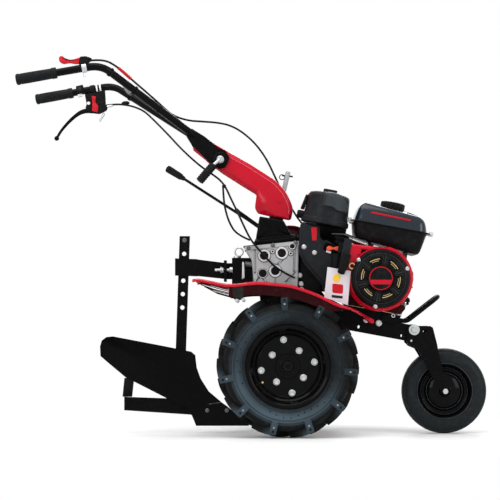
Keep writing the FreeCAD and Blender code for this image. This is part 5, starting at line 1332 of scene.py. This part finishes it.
def makeClampAndLever():
    # the toothed disc of the height clamp, its bolt and the folding grip
    x, z = handlePivot
    centre = upright(x, -45.3, z)
    profile = np.array([(6.2, 0, 0), (25, 0, 0), (27, 1.5, 1), (27, 5, 1), (24, 7, 0.3), (12, 7.6, 0),
        (6.2, 7.6, 0), (6.2, 0, 0)])
    ribbedSleeve("clampDisc", centre, centre + [0, -0.01, 0], profile, 36, 0.05, "satinBlack", "handlebar",
        ("clamp_bolt",), count=144)
    bolts("clampHead", [upright(x, -52.8, z)], (0, -1, 0), 19, "zinc", "handlebar", high=12)
    bar("clampShank", spots(upright, [(x, -58, z), (x, 0, z), (x, 54, z)]), 6, "zinc", "handlebar",
        corners=20)
    bolts("clampNut", [upright(x, 45.4, z)], (0, 1, 0), 19, "zinc", "handlebar", high=10)
    bar("clampArm", spots(upright, [(x, -60, z), (x - 10, -61, z - 8), (x - 26, -65, z - 22),
        (x - 34, -67, z - 30)]), [7, 6.4, 6, 6], "zinc", "handlebar")
    start, end = upright(x - 22, -64, z - 18.5), upright(x - 72, -75, z - 78)
    rows = [(0, 0, 0), (10, 0, 0), (13, 1.5, 0)]
    for k in range(8):
        rows += [(15, 4 + 8.6 * k, 0), (15, 8.6 + 8.6 * k, 0), (13.4, 9.6 + 8.6 * k, 0),
            (13.4, 11.4 + 8.6 * k, 0)]
    rows += [(15, 74, 0), (14.4, 77, 0), (10, 79, 0), (0, 79.4, 0)]
    ribbedSleeve("clampGrip", start, end, rows, 1, 0.0, "gripRubber", "handlebar", count=36)


# root, knee, the grip's start and its tip: ahead of the axle, to the left and up
leverRoute = [(-103.6, 16.9, 727.5), (-172, 34, 777), (-366, 80, 898), (-430, 94, 938)]


def makeGearLever():
    root, knee, end, tip = np.array(leverRoute)
    share = np.linspace(0, 1, 12)[:, None]
    root = root - (knee - root) * 0.22
    bar("leverRod", spots(upright, root + (end - root) * share), 5, "satinBlack", nodes=("gear_lever",))
    on = (knee - root) / np.linalg.norm(knee - root)
    bar("leverSleeve", spots(upright, [root, root + on * 30, knee - on * 6, knee, knee + on * 10]),
        [7.5, 7.5, 7.5, 9, 9], "satinBlack")
    rows = [(5, -8, 0), (7.4, -7, 0), (8.4, 0, 0), (9.6, 4, 0)]
    for k in range(6):
        rows += [(11.6 + 0.25 * k, 8 + 8 * k, 1), (12 + 0.25 * k, 13 + 8 * k, 1),
            (11 + 0.25 * k, 14 + 8 * k, 1)]
    rows += [(13, 58, 0), (13, 63, 0), (11, 67, 0), (6, 69, 0), (0, 69.6, 0)]
    ribbedSleeve("leverGrip", upright(*end), upright(*tip), rows, 14, 0.05, "gripRubber", "chassis", count=84)


fenderShape = {
    "line": [(-320, 531), (-301, 534), (-198, 513), (-105, 524), (8, 514), (89, 487), (169, 447), (210, 439),
        (277.9, 406)],
    "inner": 155, "outer": 294.5, "skirt": 38,
}


def makeFender(label):
    # the sheet follows its line; across it runs flat from the inner to the outer edge, then rolls down
    side = sides[label]
    line = roundedPath(fenderShape["line"], 28, 6)
    inner, outer = fenderShape["inner"], fenderShape["outer"]
    edge = outer - (outer - inner) * rise(line[:, 0], 206, 283)
    share = np.array([0, 0.02, 0.2, 0.5, 0.8, 0.96, 0.99, 1, 1, 1])
    drop = np.array([1.5, 0, 0, 0, 0, 0, 1.2, 3.2, 6, 8])
    y = inner + (edge[:, None] - inner) * share
    x = np.broadcast_to(line[:, :1], y.shape)
    z = line[:, 1:] - 1.4 - drop
    item = makePiece("fender" + label, upright(x, side * y, z), gridFaces(*y.shape), "redPaint",
        nodes=("fender_" + label.lower(),), sharp=60)
    addWall(item, 0.0026)
    def outward(a, depth, b):
        return upright(a, -side * depth, b)
    # the inner skirt hangs below it, in the wheel's shade; its dark red is painted shade
    inside = line[(line[:, 0] > -206) & (line[:, 0] < 214)]
    deep = 4 + (fenderShape["skirt"] - 4) * (1 - smoothStep(inside[:, 0], 110, 214))
    low = inside[::-1] - np.stack([0 * deep, deep], -1)[::-1]
    plate = np.vstack([inside - [0, 2.5], low])
    softFlat("fenderSkirt" + label, plate, side * inner, side * (inner + 3), "redInShade")
    # outer skirt under the rolled edge, dark red as painted shade
    softFlat("outerSkirt" + label, plate - [0, 5], side * 290, side * 292.5, "redInShade")
    # the tail's three folded beads run to a bolted block; their dark red is painted shade
    for number, (z0, z1) in enumerate(((526, 493), (514, 483), (508, 473))):
        x0 = -304 + 12 * number
        bar(f"tailBead{label}{number}", spots(upright, [(x0, side * 290, z0),
            (-245, side * 290, 0.5 * (z0 + z1) - 1), (-186, side * 290, z1)]), 1.7, "redInShade", corners=8)
    block("tailBlock" + label, [(-188, 506), (-150, 508), (-148, 468), (-182, 464)], 5, -294, -268, 2,
        outward, "heatBlack")
    places = spots(upright, [(-172, side * 289, 462), (-150, side * 289, 465)])
    bolts("tailBolts" + label, places, (0, side, 0), 10, "zinc", high=5)
    strap = [(-34, -132.5), (-15.3, -136.6), (4, -142.2), (6.2, -154.3), (-3.6, -156.2), (-30.1, -144.8)]
    def strapPlace(u, depth, w):
        return tilted(u, -side * depth, w)
    block("fenderStrap" + label, strap, 3, -158, -50.4, 1, strapPlace, "redPaint")
    # the tab under the sheet is dark red as painted shade
    block("fenderTab" + label, [(-70, 500), (10, 500), (10, 506), (-70, 506)], 2, -158, -84.4, 1, outward,
        "redInShade")
    for number, (x, z) in enumerate(((-95, 509), (88, 471), (186, 432))):
        bolts(f"skirtBolt{label}{number}", [upright(x, side * 158, z)], (0, side, 0), 7, "greySteel", high=4)
    # two pressed beads along the top
    for number, y in enumerate((198, 250)):
        keep = line[line[:, 0] < 190]
        bar(f"fenderBead{label}{number}", upright(keep[:, 0], side * y, keep[:, 1] - 0.4), 2.6, "redPaint",
            corners=8)


def softFlat(name, loop, y0, y1, finish):
    # a strip with matching top and bottom rows, closed all round
    half = len(loop) // 2
    top, low = loop[:half], loop[half:][::-1]
    ring = np.stack([upright(top[:, 0], y0, top[:, 1]), upright(low[:, 0], y0, low[:, 1]),
        upright(low[:, 0], y1, low[:, 1]), upright(top[:, 0], y1, top[:, 1])], 1)
    points = ring.reshape(-1, 3)
    faces = ringFaces(half, 4).tolist()
    last = (half - 1) * 4
    return makePiece(name, points, faces + [[0, 1, 2, 3], [last + 3, last + 2, last + 1, last]], finish)


def makeFrameParts():
    # the engine's bed with its plate and riser, and the bolts through the rails and the engine's foot
    # the bed's dark red is painted shade below the starter
    block("engineBed", [(-104, -108), (96, -108), (110, -84), (104, -74), (-100, -74)], 6, -75, 82, 4,
        framed(5), "redInShade")
    block("bedPlate", [(-98, -106.4), (-98, -109), (70, -109), (70, -106.4)], 0.8, -52, 84, 0.6, framed(),
        "brass")
    block("bedRiser", [(36, -142), (98, -140), (100, -112), (36, -108)], 4, -52, 60, 2, framed(),
        "satinBlack")
    places = spots(tilted, [(-15, -50, -146.5), (30, -50, -150)])
    bolts("railBolts", places, (0, -1, 0), 16, "zinc", high=9)
    bolts("railBoltsLeft", places * [1, -1, 1], (0, 1, 0), 16, "zinc", high=9)
    places = spots(tilted, [(74, -50, -116), (92, -56, -104)])
    bolts("footBolts", places, (0, -1, 0), 15, "zinc", high=10)


def makeForkParts():
    # the pivot's washers and heads, the wheel axle's heads and a small bolt below
    x, z = 442, 361
    wheel = (frontWheel["ahead"], frontWheel["up"])
    for label, side in sides.items():
        turned("pivotWasher" + label, [(6, 0.1), (18, 0.1), (18.5, 0.6), (18.5, 2), (17.6, 2.8), (6, 2.8),
            (6, 0.1)], upright(x, side * 61, z), (0, side, 0), "zinc", "support_fork", count=40)
        bolts("pivotHead" + label, [upright(x, side * 63.4, z)], (0, side, 0), 19, "zinc", "support_fork",
            high=10)
        bolts("wheelHead" + label, [upright(wheel[0], side * 61, wheel[1])], (0, side, 0), 14, "zinc",
            "support_fork", high=8, washer=9)
        bolts("smallBolt" + label, [upright(x - 11, side * 61, z - 38)], (0, side, 0), 6, "zinc",
            "support_fork", high=3)


def makeHitchParts():
    # adjusting screws with their nuts and heads, and the stem's bolt
    for number, y in enumerate((-33, 33)):
        bar(f"adjustScrew{number}", spots(upright, [(-250, y, 569), (-220, y, 569), (-190, y, 569)]), 4.8,
            "zinc", nodes=("hitch_bolts",) if number == 0 else ())
        bolts(f"adjustNut{number}", [upright(-228, y, 569)], (1, 0, 0), 16, "zinc", high=9)
        bolts(f"adjustHead{number}", [upright(-190, y, 569)], (-1, 0, 0), 16, "zinc", high=9)
    bolts("stemBolt", [upright(-356, -7.4, 673)], (0, -1, 0), 12, "greySteel", high=6)
    # carriage heads of the two share bolts
    places = [upright(-276, -13.5, 79.6), upright(-208, -13.5, 79.6)]
    bolts("shareBolts", places, (0, -1, 0), 11, "greySteel", high=3.2)


for label in sides:
    makeFender(label)
makeGearbox()
makeShiftCover()
makeColumnArm()
makeGrips()
makeControls()
makeClampAndLever()
makeGearLever()
makeFrameParts()
makeForkParts()
makeHitchParts()
print("body")

cables = {
    # control points ahead, left and up of the handle pivot, the column's foot and the crank; "upper" and
    # "lower" are the numbers of the control points where each of the two bends starts and ends
    "throttle": {
        "node": "throttle_cable",
        "handle": [(-434.5, -284, 314), (-389.5, -284, 319), (-344.5, -262, 297), (-295.5, -214, 256),
            (-245.5, -160, 217), (-201.5, -116, 181), (-166.5, -80, 151), (-114.5, -58, 135),
            (-59.5, -44, 133), (-11.5, -30, 131), (34.5, -16, 123), (79.5, 0, 99), (125.5, 20, 59)],
        "column": [(-30, 40, 213), (2, 55, 145), (26, 60, 93), (56, 50, 43), (86, 26, -7)],
        "crank": [(-234, -6, 169), (-191.8, -22, 152.5), (-152.7, -22, 145.2)],
        "upper": (7, 13), "lower": (14, 18), "sleeve": (-466, -424),
    },
    "clutch": {
        "node": "clutch_cable",
        "handle": [(-430.9, 285, 225), (-391.5, 283, 231), (-349.5, 256, 225), (-314.5, 216, 213),
            (-277.5, 172, 193), (-243.5, 134, 159), (-209.5, 98, 123), (-176.5, 66, 87),
            (-144.5, 30, 50), (-101.5, -6, 7), (-61.5, -30, -28), (-24.5, -42, -53)],
        "column": [(-192, -62, 133), (-174, -80, 107), (-158, -90, 71), (-136, -94, 26),
            (-112, -98, -27), (-86, -100, -79)],
        "crank": [(-394, -99, 77), (-349, -98, 30), (-290, -95, 3)],
        "upper": (9, 12), "lower": (13, 17),
    },
    "stop": {
        "node": "stop_wire",
        "column": [(-184.8, -80, 117), (-183, -80, 77), (-178, -80, 37), (-164, -78, -12),
            (-137, -70, -55), (-91, -56, -73)],
        "lower": (2, 4), "tiedTo": "clutch",
    },
}
cableRadius = 3.5
cableAnchors = {"handle": (handlePivot[0], 0, handlePivot[1]), "column": (-36, 0, 745),
    "crank": (318, 0, 537)}


def splineLine(points):
    # the line that a NURBS spline draws for its control points
    data = bpy.data.curves.new("route", "CURVE")
    data.dimensions = "3D"
    spline = data.splines.new("NURBS")
    spline.points.add(len(points) - 1)
    spline.points.foreach_set("co", np.hstack([points, np.ones((len(points), 1))]).ravel())
    spline.order_u = 3
    spline.use_endpoint_u = True
    spline.resolution_u = 8
    item = bpy.data.objects.new("route", data)
    mesh = bpy.data.meshes.new_from_object(item)
    line = np.array([v.co for v in mesh.vertices])
    bpy.data.objects.remove(item)
    bpy.data.curves.remove(data)
    bpy.data.meshes.remove(mesh)
    return line


def cableRoute(name):
    route = [np.array(p) + start for key, start in cableAnchors.items() for p in cables[name].get(key, [])]
    return spots(upright, route)


def makeCable(name):
    # two lengths, split where the lower bend starts: one from the handlebar to the column, one on to
    # the frame; the bends' control points, also those of a cable that a wire is tied to, are looked up but
    # not used
    cable = cables[name]
    tied = cable.get("tiedTo", name)
    route, lead = cableRoute(name), cableRoute(tied)
    line = splineLine(route)
    first, second = (lead[k] for k in cables[tied]["upper"])
    third, fourth = (route[k] for k in cable["lower"])
    cut = int(np.argmin(np.linalg.norm(line - third, axis=1)))
    upper = bar(name + "CableUpper", line[:cut + 2], cableRadius, "cableSheath", None, corners=12)
    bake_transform(upper)
    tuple(first)
    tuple(second)
    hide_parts(cable["node"])
    if "sleeve" in cable:
        # a red sleeve where the cable leaves the lever
        back, front = cable["sleeve"]
        away = line[:, 0] / mm
        bar("cableSleeve", line[(away > back) & (away < front)], 5.4, "redPlastic", "handlebar", corners=12)
    lower = bar(name + "CableLower", line[cut - 1:], cableRadius, "cableSheath", None, corners=12)
    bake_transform(lower)
    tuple(third)
    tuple(fourth)


wireTie = {"place": (-216.5, -77, 858), "along": (18, -18, -26)}


def makeWireTie():
    # the tie that holds the stop wire to the clutch cable
    turned("wireTie", tieRing(3.6, 3.4), upright(*wireTie["place"]), wireTie["along"], "blackPlastic",
        "column", count=24)


tagCorner = (137.5, 576)


def makeTagMarks():
    # a plain design of its own: a round, a rounded square and a band
    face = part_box("hang_tag")[0][1] / mm
    x, z = tagCorner
    a = np.linspace(0, 2 * np.pi, 29)[:-1]
    disc = np.stack([x + 31 + 14 * np.cos(a), z - 38 + 14 * np.sin(a)], -1)
    square = roundedLoop([(x + 16, z - 56), (x + 54, z - 60), (x + 52, z - 92), (x + 16, z - 88)], 7)
    band = roundedLoop([(x + 14, z - 95), (x + 52, z - 99), (x + 51, z - 108), (x + 14, z - 104)], 3)
    for name, loop, finish in (("tagRound", disc, "yellowMark"), ("tagSquare", square, "redPlastic"),
            ("tagBand", band, "greyPlastic")):
        softBlock(name, loop, -0.3, 0.5, 0.2, sideways(face), finish, steps=2)
    # a plain red label low on the air duct
    loop = roundedLoop([(-263, 131), (-243, 135), (-237, 90), (-251, 87)], 3)
    softBlock("ductLabel", loop, 119, 121.6, 0.3, framed(), "redPlastic", steps=2)


leads = {
    "leadA": [(420, -70, 560), (436, -72, 548), (437, -70, 530), (428, -64, 520), (436, -60, 506)],
    "leadB": [(410, -60, 590), (432, -62, 572), (440, -62, 548), (432, -60, 530)],
}


def makeWires():
    # short leads behind the starter and along the engine's side
    for name, points in leads.items():
        bar(name, splineLine(spots(upright, points)), 2.2, "cableSheath", corners=8)


for name in cables:
    makeCable(name)
makeWireTie()
makeTagMarks()
makeWires()
print("details")

guard = {
    # pulley centres ahead and up, the cover's radius round each, and its face to the left
    "rear": (15, 625, 105), "front": (318, 537, 76), "face": 146.3,
}


def guardLoop(inside):
    # an arc round each centre, joined by the two straight lines that touch both
    (x0, z0, r0), (x1, z1, r1) = guard["rear"], guard["front"]
    run = np.array([x1 - x0, z1 - z0], float)
    heading = math.degrees(math.atan2(run[1], run[0]))
    swing = math.degrees(math.acos((r0 - r1) / np.linalg.norm(run)))
    rear = np.radians(np.linspace(heading + swing, heading - swing + 360, 30))
    front = np.radians(np.linspace(heading - swing, heading + swing, 24))
    return np.vstack([np.stack([x0 + (r0 - inside) * np.cos(rear), z0 + (r0 - inside) * np.sin(rear)], -1),
        np.stack([x1 + (r1 - inside) * np.cos(front), z1 + (r1 - inside) * np.sin(front)], -1)])


def makeGuardParts():
    # a soft-edged face, a pressed bead round it, a raised panel and its bolts
    face = guard["face"]
    softBlock("guardFace", guardLoop(-0.6), face - 7, face + 2, 5, upright, "redPaint", steps=5)
    bead = guardLoop(17)
    bead = np.vstack([bead, bead[:1]])
    bar("guardBead", upright(bead[:, 0], face + 1.6, bead[:, 1]), 3, "redPaint", corners=8)
    softBlock("guardPanel", guardLoop(34), face, face + 4.4, 2.6, upright, "redPaint")
    for number, (x, z) in enumerate((guard["rear"][:2], guard["front"][:2])):
        turned(f"guardCap{number}", [(0, 0), (19, 0), (19, 2), (17, 3.6), (0, 4.2)], upright(x, face + 4, z),
            (0, 1, 0), "blackPlastic", count=40)
    x, z = np.array([(15, 719), (-52, 565), (15, 531), (318, 603), (371, 520)], float).T
    bolts("guardBolts", upright(x, face + 1.6, z), (0, 1, 0), 10, "zinc", high=5, washer=8)


def makeHeadParts():
    # cooling fins: the head's outline 1.075 times as large, repeated across it; a cover and the spark lead
    head = np.array([(-96, -88), (-96, 50), (-200, 95), (-222, 84), (-240, 26), (-236, -4), (-160, -80)],
        float)
    centre = head.mean(0)
    larger = roundedLoop(centre + (head - centre) * 1.075, 10, 3)
    fins = [ribPoints(larger, y, y + 2.6, tilted, 0.6) for y in np.linspace(-58, 46, 11)]
    makePiece("headFins", *joined(fins), "engineGrey")
    block("headCover", [(-252, -52), (-238, -60), (-224, 40), (-236, 52)], 6, -40, 34, 4, tilted,
        "castAluminium")
    bar("sparkLead", splineLine(spots(tilted, [(-246, 0, -6), (-262, 4, 10), (-262, 30, 50), (-230, 58, 70),
        (-170, 66, 60)])), 3.2, "cableSheath", corners=10)


def makeBlockParts():
    # cast ribs down the front of the crankcase, its cover's edge, an oil filler and a drain plug
    strips = [(y, y + 4) for y in (-74, -52, -30, -8, 14, 36, 58)]
    ribs = [ribPoints(np.array([(99, -88), (99, 44), (104.5, 40), (104.5, -80)], float), low, high, tilted,
        0.4) for low, high in strips]
    makePiece("crankcaseRibs", *joined(ribs), "engineGrey")
    for name, level in (("Low", -84.0), ("High", 42.0)):
        block("crankcaseRail" + name, [(98, level), (106, level), (106, level + 7), (98, level + 7)], 1.5,
            -83, 73, 1.5, tilted, "engineGrey")
    place = tilted(104, 46, -58)
    ahead = tilted(1, 0, 0) - tilted(0, 0, 0)
    lean = tilted(1, 0, 0.35) - tilted(0, 0, 0)
    turned("oilFiller", [(0, -8), (13, -8), (13, 8), (16.5, 8), (17, 9), (17, 19), (15, 21), (8, 21.5),
        (8, 26), (0, 27)], place, lean, "blackPlastic", count=32)
    bolts("drainPlug", [tilted(104, -40, -70)], ahead, 14, "zinc", high=8, washer=10)
    y = np.array([-70.0, -20, 30, 66])
    places = tilted(106, y, 45.5)
    bolts("crankcaseBolts", places, ahead, 10, "zinc", high=5)


def makeMufflerParts():
    # a slotted heat shield on the left, with a short outlet; its slots are near-black strips of painted shade
    plate = roundedLoop([(-240, 104), (-142, 104), (-142, 188), (-240, 188)], 10, 4)
    softBlock("mufflerShield", plate, 84, 91, 3, tilted, "heatBlack")
    slots = [ribPoints(roundedLoop([(u, 114), (u + 9, 114), (u + 9, 178), (u, 178)], 4, 3), 90.4, 91.6,
        tilted, 0.2) for u in (-228, -210, -192, -174, -156)]
    makePiece("shieldSlots", *joined(slots), "darkPit")
    end = tilted(-226, 60, 100)
    turned("outlet", [(0, -4), (11, -4), (13, 0), (13, 16), (11.5, 17), (10, 16), (10, 2), (0, 2)], end,
        tilted(-0.3, 0.2, -1) - tilted(0, 0, 0), "heatBlack", count=32)


makeGuardParts()
makeHeadParts()
makeBlockParts()
makeMufflerParts()
print("far side")
